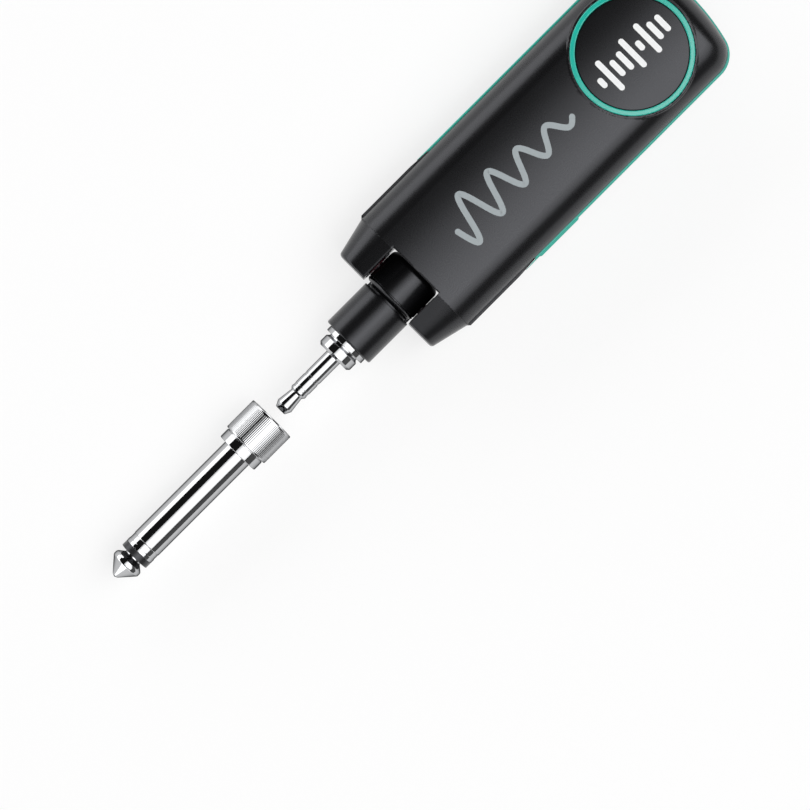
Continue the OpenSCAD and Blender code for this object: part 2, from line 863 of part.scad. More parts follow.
module jack_sleeve_contact() {
    color(chrome)
        at_plug()
            turned()
                difference() {
                    union() {
                        ring_2d(0, jack_tail_d, jack_x0, flange_x0);
                        ring_2d(0, flange_d - 2 * flange_c, ring_x1, flange_x1);
                        polygon([
                            [0, flange_x0], [flange_d / 2 - flange_c, flange_x0],
                            [flange_d / 2, flange_x0 + flange_c], [flange_d / 2, flange_x1 - flange_c],
                            [flange_d / 2 - flange_c, flange_x1], [0, flange_x1]
                        ]);
                        ring_2d(0, jack_d, flange_x0, sleeve_x1);
                    }
                    ring_2d(0, sleeve_hole_d, 0, jack_x1);
                }
}

module jack_rear_insulator() {
    color(black)
        at_plug()
            turned() {
                ring_2d(rear_hole_d, rear_tube_d, jack_x0 - jack_tail_step, sleeve_x1);
                ring_2d(rear_hole_d, insulator_ring_d, sleeve_x1, rear_x1);
            }
}

module jack_ring_contact() {
    color(chrome)
        at_plug()
            turned() {
                ring_2d(ring_hole_d, ring_tube_d, jack_x0 - 2 * jack_tail_step, rear_x1);
                ring_2d(ring_hole_d, jack_d, rear_x1, contact_x1);
            }
}

module jack_front_insulator() {
    color(black)
        at_plug()
            turned() {
                ring_2d(rod_hole_d, front_tube_d, jack_x0 - 3 * jack_tail_step, contact_x1);
                ring_2d(rod_hole_d, insulator_ring_d, contact_x1, front_x1);
            }
}

module jack_tip_contact() {
    collar = 0.55;
    neck = 0.45;
    nose = 1.2;
    end_d = 2.3;
    tail_x = jack_x0 - 4 * jack_tail_step;
    color(chrome)
        at_plug()
            turned()
                polygon([
                    [0, tail_x], [jack_rod_d / 2, tail_x], [jack_rod_d / 2, front_x1],
                    [jack_d / 2, front_x1], [jack_d / 2, front_x1 + collar],
                    [jack_neck_d / 2, front_x1 + collar + neck], [jack_d / 2, jack_x1 - nose],
                    [end_d / 2, jack_x1], [0, jack_x1]
                ]);
}

module adapter_barrel() {
    undercut = 0.15;
    color(chrome)
        at_mouth()
            turned()
                difference() {
                    union() {
                        ring_2d(0, spigot_d, mouth_bore_l, collar_l);
                        ring_2d(0, step_d - 2 * undercut, collar_l, step_x1);
                        ring_2d(0, step_d, collar_l + undercut, step_x1);
                        ring_2d(0, shaft_d, step_x1, shaft_x1);
                    }
                    ring_2d(0, socket_d, 0, socket_l);
                    ring_2d(0, tip_tube_d + 2 * fit_gap, 0, adapter_l);
                    ring_2d(shaft_d - 2 * groove_d, 2 * shaft_d,
                        shaft_x1 - groove_back - groove_w, shaft_x1 - groove_back);
                }
}

// Star outline whose points are the ridges of the knurl
module knurl_2d() {
    step = 180 / knurl_n;
    polygon([
        for (i = [0 : 2 * knurl_n - 1])
            let (r = collar_d / 2 - (i % 2) * knurl_d) [r * cos(i * step), r * sin(i * step)]
    ]);
}

module adapter_collar() {
    color(chrome)
        at_mouth()
            difference() {
                rotate([0, 90, 0]) linear_extrude(collar_l) knurl_2d();
                turned() ring_2d(0, mouth_bore_d, -over, mouth_bore_l);
                turned() ring_2d(0, spigot_d + 2 * fit_gap, 0, collar_l + over);
            }
}

module adapter_insulator() {
    color(black)
        at_mouth()
            turned() {
                ring_2d(tip_rod_d + 2 * fit_gap, tip_tube_d, socket_l + cup_l + fit_gap, shaft_x1);
                ring_2d(tip_rod_d + 2 * fit_gap, shaft_d, shaft_x1, insulator_x1);
            }
}

module adapter_tip() {
    neck = 0.35;
    rise = 0.95;
    land = 1;
    edge = 0.15;
    point_d = 1.2;
    color(chrome)
        at_mouth()
            turned()
                polygon([
                    [0, socket_l + cup_l], [tip_rod_d / 2, socket_l + cup_l], [tip_rod_d / 2, insulator_x1],
                    [tip_neck_d / 2, insulator_x1], [tip_neck_d / 2, insulator_x1 + neck],
                    [tip_d / 2 - edge, insulator_x1 + neck + rise],
                    [tip_d / 2, insulator_x1 + neck + rise + 2 * edge],
                    [tip_d / 2, insulator_x1 + neck + rise + land],
                    [point_d / 2, adapter_l - edge], [0, adapter_l]
                ]);
}

module adapter_contact_cup() {
    color(gold)
        at_mouth() turned() ring_2d(0, tip_tube_d, socket_l + 2 * fit_gap, socket_l + cup_l);
}

front_shell();
back_shell();
side_band();
front_badge_ring();
front_badge_disc();
back_badge_ring();
back_badge_disc();
circuit_board();
battery();
radio_shield();
antenna();
button_switch();
board_screws();
signal_wires();
usb_port_shell();
usb_port_tongue();
hinge_pins();
friction_washers();
power_button();
plug_housing();
knuckle_core();
plug_base_ring();
jack_sleeve_contact();
jack_rear_insulator();
jack_ring_contact();
jack_front_insulator();
jack_tip_contact();
adapter_barrel();
adapter_collar();
adapter_insulator();
adapter_tip();
adapter_contact_cup();
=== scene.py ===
"""Looks of a wireless guitar transmitter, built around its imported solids.

Lengths are millimetres in the frame of the solids: +X runs to the plug, +Y to the power button and +Z out
of the front face. A mesh turns into metres when it becomes a piece.
"""

import logging
import math
from dataclasses import dataclass, field
from enum import Enum
from typing import Any, Callable, Optional, Sequence

import bpy
import numpy as np
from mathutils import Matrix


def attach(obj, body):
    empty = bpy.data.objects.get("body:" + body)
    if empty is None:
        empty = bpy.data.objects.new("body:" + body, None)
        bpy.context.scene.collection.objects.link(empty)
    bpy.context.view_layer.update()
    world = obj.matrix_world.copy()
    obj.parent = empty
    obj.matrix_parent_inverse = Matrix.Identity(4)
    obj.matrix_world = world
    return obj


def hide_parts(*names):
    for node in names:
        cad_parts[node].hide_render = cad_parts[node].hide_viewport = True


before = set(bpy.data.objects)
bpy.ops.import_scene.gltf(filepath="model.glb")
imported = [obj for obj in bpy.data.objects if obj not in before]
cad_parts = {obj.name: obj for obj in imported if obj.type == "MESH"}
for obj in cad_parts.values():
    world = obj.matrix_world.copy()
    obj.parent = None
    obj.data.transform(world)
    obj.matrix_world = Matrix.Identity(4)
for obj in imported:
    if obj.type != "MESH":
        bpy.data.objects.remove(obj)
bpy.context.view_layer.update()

log = logging.getLogger("transmitter")

MM = 0.001
TINY = 1e-9
DECIMALS = 6
QUARTER_TURN = 90
SHARP = math.radians(35)
NOISE_MIDDLE = 0.5
Array = np.ndarray
Colour = tuple[float, float, float]
Point = tuple[float, float, float]


class Body(Enum):
    """The bodies of the frame that a piece can ride on."""

    CASE = "body"
    BUTTON = "power_button"
    PLUG = "plug_head"
    ADAPTER = "adapter"


# Implicit forms


def rounded_max(a: Array, b: Array, rounding: Any) -> Array:
    """The larger of two fields, with the edge between them rounded.

    Args:
        a: First field, negative inside.
        b: Second field, negative inside.
        rounding: Radius of the rounded edge, a number or an array, or 0 for a sharp one.

    Returns:
        The field of what the two forms share.
    """
    larger = np.maximum(a, b)
    if np.all(np.less_equal(rounding, 0)):
        return larger
    corner = np.hypot(np.maximum(a + rounding, 0), np.maximum(b + rounding, 0))
    return np.minimum(larger, -rounding) + corner


@dataclass(frozen=True)
class Form:
    """An implicit solid: a field that is negative inside and about a distance near its surface."""

    values: Callable[[Array, Array, Array], Array]

    def __call__(self, x: Array, y: Array, z: Array) -> Array:
        """The field's values at the given places."""
        return self.values(x, y, z)

    def meet(self, other: "Form", rounding: float = 0.0) -> "Form":
        """What this form and another share."""
        return Form(lambda x, y, z: rounded_max(self(x, y, z), other(x, y, z), rounding))

    def join(self, other: "Form", rounding: float = 0.0) -> "Form":
        """This form and another together."""
        return Form(lambda x, y, z: -rounded_max(-self(x, y, z), -other(x, y, z), rounding))

    def cut(self, other: "Form", rounding: float = 0.0) -> "Form":
        """This form without another."""
        return Form(lambda x, y, z: rounded_max(self(x, y, z), -other(x, y, z), rounding))

    def mirrored(self, middle: float = 0.0) -> "Form":
        """This form on both sides of an upright plane along X."""
        return Form(lambda x, y, z: self(x, middle + np.abs(y - middle), z))


def half_space(axis: int, limit: float, side: int) -> Form:
    """All places on one side of a plane.

    Args:
        axis: 0, 1 or 2 for X, Y or Z.
        limit: Where the plane crosses the axis.
        side: 1 for the places below the limit, -1 for those above it.

    Returns:
        The half space as a form.
    """
    return Form(lambda *at: side * (at[axis] - limit))


def box_form(low: Point, high: Point, rounding: float = 0.0) -> Form:
    """A box between two corners.

    Args:
        low: Lowest corner.
        high: Highest corner.
        rounding: Radius of its edges.

    Returns:
        The box as a form.
    """
    middle = [(a + b) / 2 for a, b in zip(low, high)]
    half = [(b - a) / 2 - rounding for a, b in zip(low, high)]

    def values(*at: Array) -> Array:
        """Distance to the box.

        Args:
            at: Places along X, Y and Z.

        Returns:
            The distance, negative inside.
        """
        out = [np.abs(v - m) - h for v, m, h in zip(at, middle, half)]
        beyond = np.sqrt(sum(np.maximum(v, 0) ** 2 for v in out))
        return beyond + np.minimum(np.maximum.reduce(out), 0) - rounding

    return Form(values)


def rod_form(axis: int, middle: Point, radius: float, low: float, high: float,
             rounding: float = 0.0) -> Form:
    """A round bar along one axis.

    Args:
        axis: 0, 1 or 2 for X, Y or Z.
        middle: A point on its axis.
        radius: Its radius.
        low: Where it starts along the axis.
        high: Where it ends along the axis.
        rounding: Radius of its two edges.

    Returns:
        The bar as a form.
    """
    first, second = (axis + 1) % 3, (axis + 2) % 3

    def values(*at: Array) -> Array:
        """Distance to the bar."""
        side = np.hypot(at[first] - middle[first], at[second] - middle[second]) - radius
        return rounded_max(side, np.maximum(low - at[axis], at[axis] - high), rounding)

    return Form(values)


def rounded_rectangle(u: Array, v: Array, half_u: Any, half_v: Any, radius: Any) -> Array:
    """Distance to a rectangle round the origin with rounded corners.

    Args:
        u: First coordinate.
        v: Second coordinate.
        half_u: Half the size along the first, a number or an array.
        half_v: Half the size along the second, a number or an array.
        radius: Radius of the corners, a number or an array.

    Returns:
        The distance, negative inside.
    """
    out_u = np.abs(u) - half_u + radius
    out_v = np.abs(v) - half_v + radius
    beyond = np.hypot(np.maximum(out_u, 0), np.maximum(out_v, 0))
    return beyond + np.minimum(np.maximum(out_u, out_v), 0) - radius


# Meshes


@dataclass
class MeshData:
    """Points, faces and the normal at each corner of each face, in millimetres."""

    points: Array
    faces: list[Sequence[int]]
    normals: Optional[Array] = None

    def joined(self, other: "MeshData") -> "MeshData":
        """This mesh and another in one.

        Args:
            other: The other mesh.

        Returns:
            Both, with their normals where both have them.
        """
        shift = len(self.points)
        faces = list(self.faces) + [[i + shift for i in face] for face in other.faces]
        normals = None
        if self.normals is not None and other.normals is not None:
            normals = np.vstack([self.normals, other.normals])
        return MeshData(np.vstack([self.points, other.points]), faces, normals)

    def crowned(self, radius: float) -> "MeshData":
        """This mesh, which lies flat at the top of a crown, bent down to both sides to follow it.

        Args:
            radius: Radius of the crown, whose axis runs along X.

        Returns:
            The bent mesh.
        """
        points = self.points.copy()
        rise = np.sqrt(radius ** 2 - points[:, 1] ** 2)
        points[:, 2] += rise - radius
        if self.normals is None:
            return MeshData(points, self.faces)
        owners = [i for face in self.faces for i in face]
        normals = self.normals.copy()
        normals[:, 1] += normals[:, 2] * (points[:, 1] / rise)[owners]
        return MeshData(points, self.faces, unit(normals))

    def made(self) -> bpy.types.Mesh:
        """This mesh for Blender, in metres and smooth, without unused or doubled points.

        Returns:
            The Blender mesh.
        """
        _, index, merged = np.unique(self.points.round(DECIMALS), axis=0, return_index=True,
                                     return_inverse=True)
        merged = merged.ravel()
        faces, kept, corner = [], [], 0
        for face in self.faces:
            ring = [int(merged[i]) for i in face]
            keep = [k for k in range(len(ring)) if ring[k] != ring[k - 1]]
            if len(keep) > 2:
                faces.append([ring[k] for k in keep])
                kept.extend(corner + k for k in keep)
            corner += len(face)
        used, numbers = np.unique(np.concatenate(faces), return_inverse=True)
        ends = np.cumsum([len(face) for face in faces])[:-1]
        mesh = bpy.data.meshes.new("mesh")
        rings = [ring.tolist() for ring in np.split(numbers.ravel(), ends)]
        mesh.from_pydata((self.points[index][used] * MM).tolist(), [], rings)
        mesh.polygons.foreach_set("use_smooth", [True] * len(mesh.polygons))
        if self.normals is None:
            mesh.set_sharp_from_angle(angle=SHARP)
        else:
            mesh.normals_split_custom_set(self.normals[kept].tolist())
        mesh.update()
        return mesh


def unit(vectors: Array) -> Array:
    """Vectors of length 1 in the same directions, one a row."""
    return vectors / np.maximum(np.linalg.norm(vectors, axis=1, keepdims=True), TINY)


def together(meshes: Sequence[MeshData]) -> MeshData:
    """Several meshes in one.

    Args:
        meshes: The meshes.

    Returns:
        The whole.
    """
    whole = meshes[0]
    for mesh in meshes[1:]:
        whole = whole.joined(mesh)
    return whole


def block(low: Array, high: Array) -> MeshData:
    """A small block between two corners.

    Args:
        low: Lowest corner.
        high: Highest corner.

    Returns:
        Its mesh.
    """
    points = np.array([[(low, high)[k][0], (low, high)[j][1], (low, high)[i][2]]
                       for i in (0, 1) for j in (0, 1) for k in (0, 1)])
    faces = [(0, 2, 3, 1), (4, 5, 7, 6), (0, 1, 5, 4), (2, 6, 7, 3), (0, 4, 6, 2), (1, 3, 7, 5)]
    return MeshData(points, faces)


def spaced(start: float, *stretches: tuple[float, float]) -> Array:
    """Grid lines over stretches that follow each other.

    Args:
        start: Where the first stretch starts.
        stretches: End and wanted step of each stretch.

    Returns:
        The places of the lines, each once.
    """
    lines = []
    for end, step in stretches:
        lines.append(np.linspace(start, end, max(2, round((end - start) / step) + 1)))
        start = end
    return np.unique(np.concatenate(lines).round(DECIMALS))


@dataclass(frozen=True)
class Contour:
    """Turns a form into quads on a grid, with one point a cell, on the surface or its sharp edge."""

    xs: Array
    ys: Array
    zs: Array
    shift: Point = (0.0, 0.0, 0.0)
    probe: float = 0.002
    halvings: int = 9
    pull: float = 0.03
    crease: float = 0.8

    @classmethod
    def around(cls, middle: Point, stretches: Sequence[tuple], shift: Point) -> "Contour":
        """A grid laid out from a point.

        Args:
            middle: The point.
            stretches: For each axis, where its lines start, then the end and step of each stretch.
            shift: How far the lines are moved off the planes of the form.

        Returns:
            The grid.
        """
        lines = []
        for at, (start, *ends) in zip(middle, stretches):
            lines.append(spaced(at + start, *[(at + end, step) for end, step in ends]))
        return cls(*lines, shift)

    @property
    def lines(self) -> tuple[Array, ...]:
        """The grid lines along X, Y and Z."""
        return tuple(line + move for line, move in zip((self.xs, self.ys, self.zs), self.shift))

    def gradient(self, form: Form, at: Array) -> Array:
        """Unit direction in which the field grows.

        Args:
            form: The form.
            at: Points, one a row.

        Returns:
            One unit vector a row.
        """
        steps = np.eye(3) * self.probe
        return unit(np.stack([form(*(at + step).T) - form(*(at - step).T) for step in steps], 1))

    def crossings(self, form: Form, low: Array, high: Array) -> Array:
        """Where the surface crosses each of many short lines.

        Args:
            form: The form.
            low: One end of each line.
            high: Its other end, on the other side of the surface.

        Returns:
            One point a line.
        """
        inside = form(*low.T) < 0
        for _ in range(self.halvings):
            middle = (low + high) / 2
            same = ((form(*middle.T) < 0) == inside)[:, None]
            low, high = np.where(same, middle, low), np.where(same, high, middle)
        return (low + high) / 2

    def mesh(self, form: Form) -> MeshData:
        """The form's surface.

        Args:
            form: The form, clear of the grid's borders.

        Returns:
            Quads with a normal at each corner.
        """
        lines = self.lines
        cells = tuple(len(line) - 1 for line in lines)
        inside = form(*np.meshgrid(*lines, indexing="ij")) < 0
        rings, places = [], []
        for axis in range(3):
            behind = np.take(inside, range(cells[axis]), axis)
            edges = np.argwhere(np.diff(inside, axis=axis))
            low = np.stack([lines[k][edges[:, k]] for k in range(3)], 1)
            high = low.copy()
            high[:, axis] = lines[axis][edges[:, axis] + 1]
            around = []
            for first, second in ((-1, -1), (0, -1), (0, 0), (-1, 0)):
                cell = edges.copy()
                cell[:, (axis + 1) % 3] += first
                cell[:, (axis + 2) % 3] += second
                around.append(np.ravel_multi_index(cell.T, cells))
            ring = np.stack(around, 1)
            rings.append(np.where(behind[tuple(edges.T)][:, None], ring, ring[:, ::-1]))
            places.append(self.crossings(form, low, high))
        used, faces = np.unique(np.concatenate(rings), return_inverse=True)
        faces = faces.reshape(-1, 4)
        corner = np.stack(np.unravel_index(used, cells), 1)
        points = self.settled(form, corner, faces, np.concatenate(places))
        return MeshData(points, faces.tolist(), self.corner_normals(form, points, faces))

    def settled(self, form: Form, corner: Array, faces: Array, at: Array) -> Array:
        """The point of each used cell that fits the planes through its crossings best.

        Args:
            form: The form.
            corner: Grid numbers of the lowest corner of each used cell.
            faces: The four cells round each crossing.
            at: The crossings.

        Returns:
            One point a cell.
        """
        owner = faces.ravel()
        at4, slope4 = np.repeat(at, 4, 0), np.repeat(self.gradient(form, at), 4, 0)

        def total(values: Array) -> Array:
            """Sum of the values of each cell."""
            return np.bincount(owner, values, len(corner))

        shares = total(np.ones(len(owner)))
        mean = np.stack([total(at4[:, k]) for k in range(3)], 1) / shares[:, None]
        offset = np.einsum("ij,ij->i", slope4, at4 - mean[owner])
        matrix = np.empty((len(corner), 3, 3))
        right = np.empty((len(corner), 3, 1))
        for i in range(3):
            right[:, i, 0] = total(slope4[:, i] * offset)
            for j in range(3):
                matrix[:, i, j] = total(slope4[:, i] * slope4[:, j])
        matrix += np.eye(3) * (self.pull * shares)[:, None, None]
        points = mean + np.linalg.solve(matrix, right)[:, :, 0]
        lines = self.lines
        low = np.stack([lines[k][corner[:, k]] for k in range(3)], 1)
        high = np.stack([lines[k][corner[:, k] + 1] for k in range(3)], 1)
        points = np.clip(points, low, high)
        points -= form(*points.T)[:, None] * self.gradient(form, points)
        return np.clip(points, low, high)

    def corner_normals(self, form: Form, points: Array, faces: Array) -> Array:
        """A normal for each corner of each face: the form's own, or the face's at a sharp edge.

        Args:
            form: The form.
            points: The mesh's points.
            faces: Its quads.

        Returns:
            One vector a corner.
        """
        quad = points[faces]
        flat = np.repeat(unit(np.cross(quad[:, 2] - quad[:, 0], quad[:, 3] - quad[:, 1])), 4, 0)
        smooth = self.gradient(form, points)[faces.ravel()]
        agree = np.einsum("ij,ij->i", flat, smooth) > self.crease
        return np.where(agree[:, None], smooth, flat)


@dataclass(frozen=True)
class Turned:
    """Turns a profile about an axis, or sweeps it round a slot with round ends."""

    origin: Point
    axis: int = 0
    segments: int = 96
    half_slot: float = 0.0
    arc_steps: int = 4

    @staticmethod
    def outer(start: Array, end: Array) -> Array:
        """The unit normal on the outer side of a line of the profile."""
        along = (end - start) / max(float(np.linalg.norm(end - start)), TINY)
        return np.array([-along[1], along[0]])

    def rounded(self, before: Array, knot: Array, after: Array, size: float) -> list[tuple]:
        """The points of one corner of the profile, each with its normals on both sides.

        Args:
            before: The corner before it.
            knot: The corner.
            after: The corner after it.
            size: Radius of its rounding, or 0 for a sharp corner.

        Returns:
            Point, normal before and normal after, for each point.
        """
        if size == 0:
            return [(knot, self.outer(before, knot), self.outer(knot, after))]
        back = (before - knot) / np.linalg.norm(before - knot)
        ahead = (after - knot) / np.linalg.norm(after - knot)
        half = math.acos(float(np.clip(back @ ahead, -1, 1))) / 2
        reach = size / math.tan(half)
        middle = knot + (back + ahead) / np.linalg.norm(back + ahead) * size / math.sin(half)
        made = []
        for t in np.linspace(0, 1, self.arc_steps + 1):
            spoke = knot + (back * (1 - t) + ahead * t) * reach - middle
            spoke /= np.linalg.norm(spoke)
            normal = spoke if spoke @ (self.outer(before, knot) + self.outer(knot, after)) > 0 else -spoke
            made.append((middle + spoke * size, normal, normal))
        return made

    def outline(self, corners: Sequence[tuple], closed: bool) -> list[tuple]:
        """The profile's points, with its corners rounded.

        Args:
            corners: Station, radius and, where it is rounded, rounding of each corner.
            closed: Whether the last corner joins the first.

        Returns:
            Point, normal before and normal after, for each point.
        """
        knots = [np.array(corner[:2], float) for corner in corners]
        made = []
        for i, corner in enumerate(corners):
            after = knots[(i + 1) % len(knots)]
            made += self.rounded(knots[i - 1], knots[i], after, corner[2] if len(corner) > 2 else 0)
        return made + made[:1] if closed else made

    def mesh(self, corners: Sequence[tuple], closed: bool = False) -> MeshData:
        """The turned form.

        Args:
            corners: Station, radius and rounding of each corner, with the form on the right of the path.
            closed: Whether the last corner joins the first, as on a ring.

        Returns:
            Faces with a normal at each corner.
        """
        path = self.outline(corners, closed)
        angles = 2 * math.pi * (np.arange(self.segments) + 0.5) / self.segments
        spokes = np.zeros((self.segments, 3))
        spokes[:, (self.axis + 1) % 3] = np.cos(angles)
        spokes[:, (self.axis + 2) % 3] = np.sin(angles)
        along = np.eye(3)[self.axis]
        shift = np.zeros((self.segments, 3))
        shift[:, (self.axis + 2) % 3] = np.sign(np.sin(angles)) * self.half_slot
        rows = [station * along + radius * spokes + shift for (station, radius), _, _ in path]
        faces, normals = [], []
        following = np.roll(np.arange(self.segments), -1)
        for i in range(len(path) - 1):
            here = path[i][2][0] * along + path[i][2][1] * spokes
            there = path[i + 1][1][0] * along + path[i + 1][1][1] * spokes
            first, second = i * self.segments, (i + 1) * self.segments
            for k, n in enumerate(following):
                faces.append((first + k, first + n, second + n, second + k))
                normals += [here[k], here[n], there[n], there[k]]
        points = np.vstack(rows) + np.array(self.origin)
        return MeshData(points, faces, np.array(normals))


# Shaders


class Value:
    """A shader socket that adds its Math nodes when it is used in an expression."""

    def __init__(self, shader: "Shader", socket: bpy.types.NodeSocket) -> None:
        """Keeps the socket and the shader that it belongs to."""
        self.shader = shader
        self.socket = socket

    def math(self, operation: str, first: Any, second: Any) -> "Value":
        """One Math node on two values."""
        return self.shader.node("ShaderNodeMath", {"operation": operation}, {0: first, 1: second})

    def __add__(self, other: Any) -> "Value":
        """The sum of two values."""
        return self.math("ADD", self, other)

    __radd__ = __add__

    def __sub__(self, other: Any) -> "Value":
        """This value less another."""
        return self.math("SUBTRACT", self, other)

    def __rsub__(self, other: Any) -> "Value":
        """Another value less this one."""
        return self.math("SUBTRACT", other, self)

    def __mul__(self, other: Any) -> "Value":
        """The product of two values."""
        return self.math("MULTIPLY", self, other)

    __rmul__ = __mul__

    def spread(self, width: float) -> "Value":
        """This noise, which lies round a half, as a change of a given width round 0."""
        return (self - NOISE_MIDDLE) * width


class Shader:
    """A material's nodes round its Principled shader."""

    def __init__(self, name: str) -> None:
        """Makes the material.

        Args:
            name: Name of the material.
        """
        self.material = bpy.data.materials.new(name)
        self.material.use_nodes = True
        self.tree = self.material.node_tree
        self.surface = self.tree.nodes["Principled BSDF"]

    def feed(self, socket: bpy.types.NodeSocket, value: Any) -> None:
        """Links a socket to a value, or sets it to a constant.

        Args:
            socket: The socket.
            value: A Value, a number, a vector or a colour.
        """
        if isinstance(value, Value):
            self.tree.links.new(value.socket, socket)
        elif socket.type == "RGBA":
            socket.default_value = (*value[:3], 1)
        else:
            socket.default_value = value

    def node(self, kind: str, settings: Optional[dict] = None, inputs: Optional[dict] = None,
             output: Any = 0) -> Value:
        """Adds one node.

        Args:
            kind: Type of the node.
            settings: Its own settings, such as its operation, which are set first.
            inputs: Values or links of its sockets, by name or number.
            output: Which of its outputs is wanted.

        Returns:
            That output.
        """
        made = self.tree.nodes.new(kind)
        for key, value in (settings or {}).items():
            setattr(made, key, value)
        for key, value in (inputs or {}).items():
            self.feed(made.inputs[key], value)
        return Value(self, made.outputs[output])

    def place(self, stretch: Point = (1, 1, 1)) -> Value:
        """The object's own coordinates in millimetres.

        Args:
            stretch: How much they are stretched along each axis.

        Returns:
            The coordinates.
        """
        own = self.node("ShaderNodeTexCoord", output="Object")
        scale = tuple(s / MM for s in stretch)
        return self.node("ShaderNodeVectorMath", {"operation": "MULTIPLY"}, {0: own, 1: scale})

    def noise(self, size: float, detail: float = 2.0, stretch: Point = (1, 1, 1)) -> Value:
        """Noise with features of a given size.

        Args:
            size: Size of the features in millimetres.
            detail: How much finer detail is in it.
            stretch: How much finer it is along each axis.

        Returns:
            A value round 0.5.
        """
        inputs = {"Vector": self.place(stretch), "Scale": 1 / size, "Detail": detail}
        return self.node("ShaderNodeTexNoise", {"noise_dimensions": "3D"}, inputs)

    def mix(self, share: Any, first: Any, second: Any) -> Value:
        """A mix of two colours."""
        settings = {"data_type": "RGBA", "clamp_factor": True}
        return self.node("ShaderNodeMix", settings, {0: share, 6: first, 7: second}, 2)

    def step(self, value: Value, low: float, high: float) -> Value:
        """A value that rises from 0 to 1 between two limits."""
        inputs = {"Value": value, "From Min": low, "From Max": high}
        return self.node("ShaderNodeMapRange", {"clamp": True, "interpolation_type": "SMOOTHSTEP"}, inputs)

    def bump(self, height: Value, depth: float) -> Value:
        """A normal that follows a height between 0 and 1.

        Args:
            height: The height.
            depth: Depth of the relief in millimetres.

        Returns:
            The normal.
        """
        inputs = {"Height": height, "Distance": depth * MM, "Strength": 1.0}
        return self.node("ShaderNodeBump", None, inputs)

    def finish(self, **sockets: Any) -> bpy.types.Material:
        """Sets the shader's sockets.

        Args:
            sockets: Their values or links, by name with underscores in place of spaces.

        Returns:
            The material.
        """
        for name, value in sockets.items():
            self.feed(self.surface.inputs[name.replace("_", " ").title().replace("Ior", "IOR")], value)
        return self.material


def scaled(colour: Colour, factor: float) -> Colour:
    """A lighter or darker colour of the same hue."""
    return tuple(min(1.0, part * factor) for part in colour)


@dataclass(frozen=True)
class Finish:
    """What a surface is made of."""

    name: str
    colour: Colour
    roughness: float

    def material(self) -> bpy.types.Material:
        """The finish's material, made once."""
        name = f"finish_{self.name}"
        return bpy.data.materials.get(name) or self.build(Shader(name))

    def build(self, shader: Shader) -> bpy.types.Material:
        """Makes the material from its nodes."""
        raise NotImplementedError

    def tinted(self, shader: Shader, share: Value, low: float, high: float) -> Value:
        """The finish's colour, from a darker to a lighter tone of it."""
        return shader.mix(share, scaled(self.colour, low), scaled(self.colour, high))


@dataclass(frozen=True)
class MouldedPlastic(Finish):
    """Moulded plastic with a fine matt texture and slightly uneven gloss."""

    grain: float = 0.16
    grain_depth: float = 0.0012
    grain_gloss: float = 0.06
    cloud: float = 11.0
    cloud_gloss: float = 0.05
    ior: float = 1.5
    tone_spread: float = 0.12
    gloss_tint: Colour = (0.92, 0.935, 1.0)

    def build(self, shader: Shader) -> bpy.types.Material:
        """Makes the material from its nodes.

        Args:
            shader: Where its nodes go.

        Returns:
            The material.
        """
        cloud = shader.noise(self.cloud, detail=3)
        grain = shader.noise(self.grain, detail=1)
        tint = self.tinted(shader, cloud, 1 - self.tone_spread, 1 + self.tone_spread)
        gloss = self.roughness + cloud.spread(self.cloud_gloss) + grain.spread(self.grain_gloss)
        return shader.finish(
            base_color=tint, roughness=gloss, ior=self.ior, specular_tint=self.gloss_tint,
            normal=shader.bump(grain, self.grain_depth))


@dataclass(frozen=True)
class GlossPlastic(Finish):
    """Coloured plastic under a clear coat, with faint flow marks."""

    coat: float = 0.6
    coat_roughness: float = 0.12
    flow: float = 3.0
    flow_stretch: Point = (0.35, 1, 1)
    flow_gloss: float = 0.08
    ripple: float = 0.6
    ripple_depth: float = 0.0006
    tones: tuple[float, float] = (0.92, 1.08)

    def build(self, shader: Shader) -> bpy.types.Material:
        """Makes the material from its nodes.

        Args:
            shader: Where its nodes go.

        Returns:
            The material.
        """
        flow = shader.noise(self.flow, stretch=self.flow_stretch)
        ripple = shader.noise(self.ripple, detail=1)
        return shader.finish(
            base_color=self.tinted(shader, flow, *self.tones),
            roughness=self.roughness + flow.spread(self.flow_gloss),
            coat_weight=self.coat, coat_roughness=self.coat_roughness,
            normal=shader.bump(ripple, self.ripple_depth))


@dataclass(frozen=True)
class PlatedMetal(Finish):
    """Polished plating with the fine lines that turning leaves round its axis."""

    line: float = 0.09
    line_depth: float = 0.0002
    line_stretch: float = 0.02
    along: int = 0
    haze: float = 2.5
    gloss_spread: float = 0.03
    edge_tint: float = 0.6
    tones: tuple[float, float] = (0.95, 1.03)

    def build(self, shader: Shader) -> bpy.types.Material:
        """Makes the material from its nodes.

        Args:
            shader: Where its nodes go.

        Returns:
            The material.
        """
        stretch = tuple(1.0 if k == self.along else self.line_stretch for k in range(3))
        lines = shader.noise(self.line, stretch=stretch)
        haze = shader.noise(self.haze, detail=3)
        gloss = self.roughness + lines.spread(self.gloss_spread) + haze.spread(self.gloss_spread)
        return shader.finish(
            base_color=self.tinted(shader, haze, *self.tones), metallic=1.0, roughness=gloss,
            specular_tint=(self.edge_tint,) * 3, normal=shader.bump(lines, self.line_depth))


@dataclass(frozen=True)
class PrintedInk(Finish):
    """Pad-printed ink, a little uneven in cover."""

    cover: float = 0.5
    grain: float = 0.1
    grain_depth: float = 0.001
    grain_gloss: float = 0.1
    tones: tuple[float, float] = (0.93, 1.04)

    def build(self, shader: Shader) -> bpy.types.Material:
        """Makes the material from its nodes.

        Args:
            shader: Where its nodes go.

        Returns:
            The material.
        """
        cover = shader.noise(self.cover, detail=3)
        grain = shader.noise(self.grain, detail=1)
        return shader.finish(
            base_color=self.tinted(shader, cover, *self.tones),
            roughness=self.roughness + grain.spread(self.grain_gloss),
            normal=shader.bump(grain, self.grain_depth))


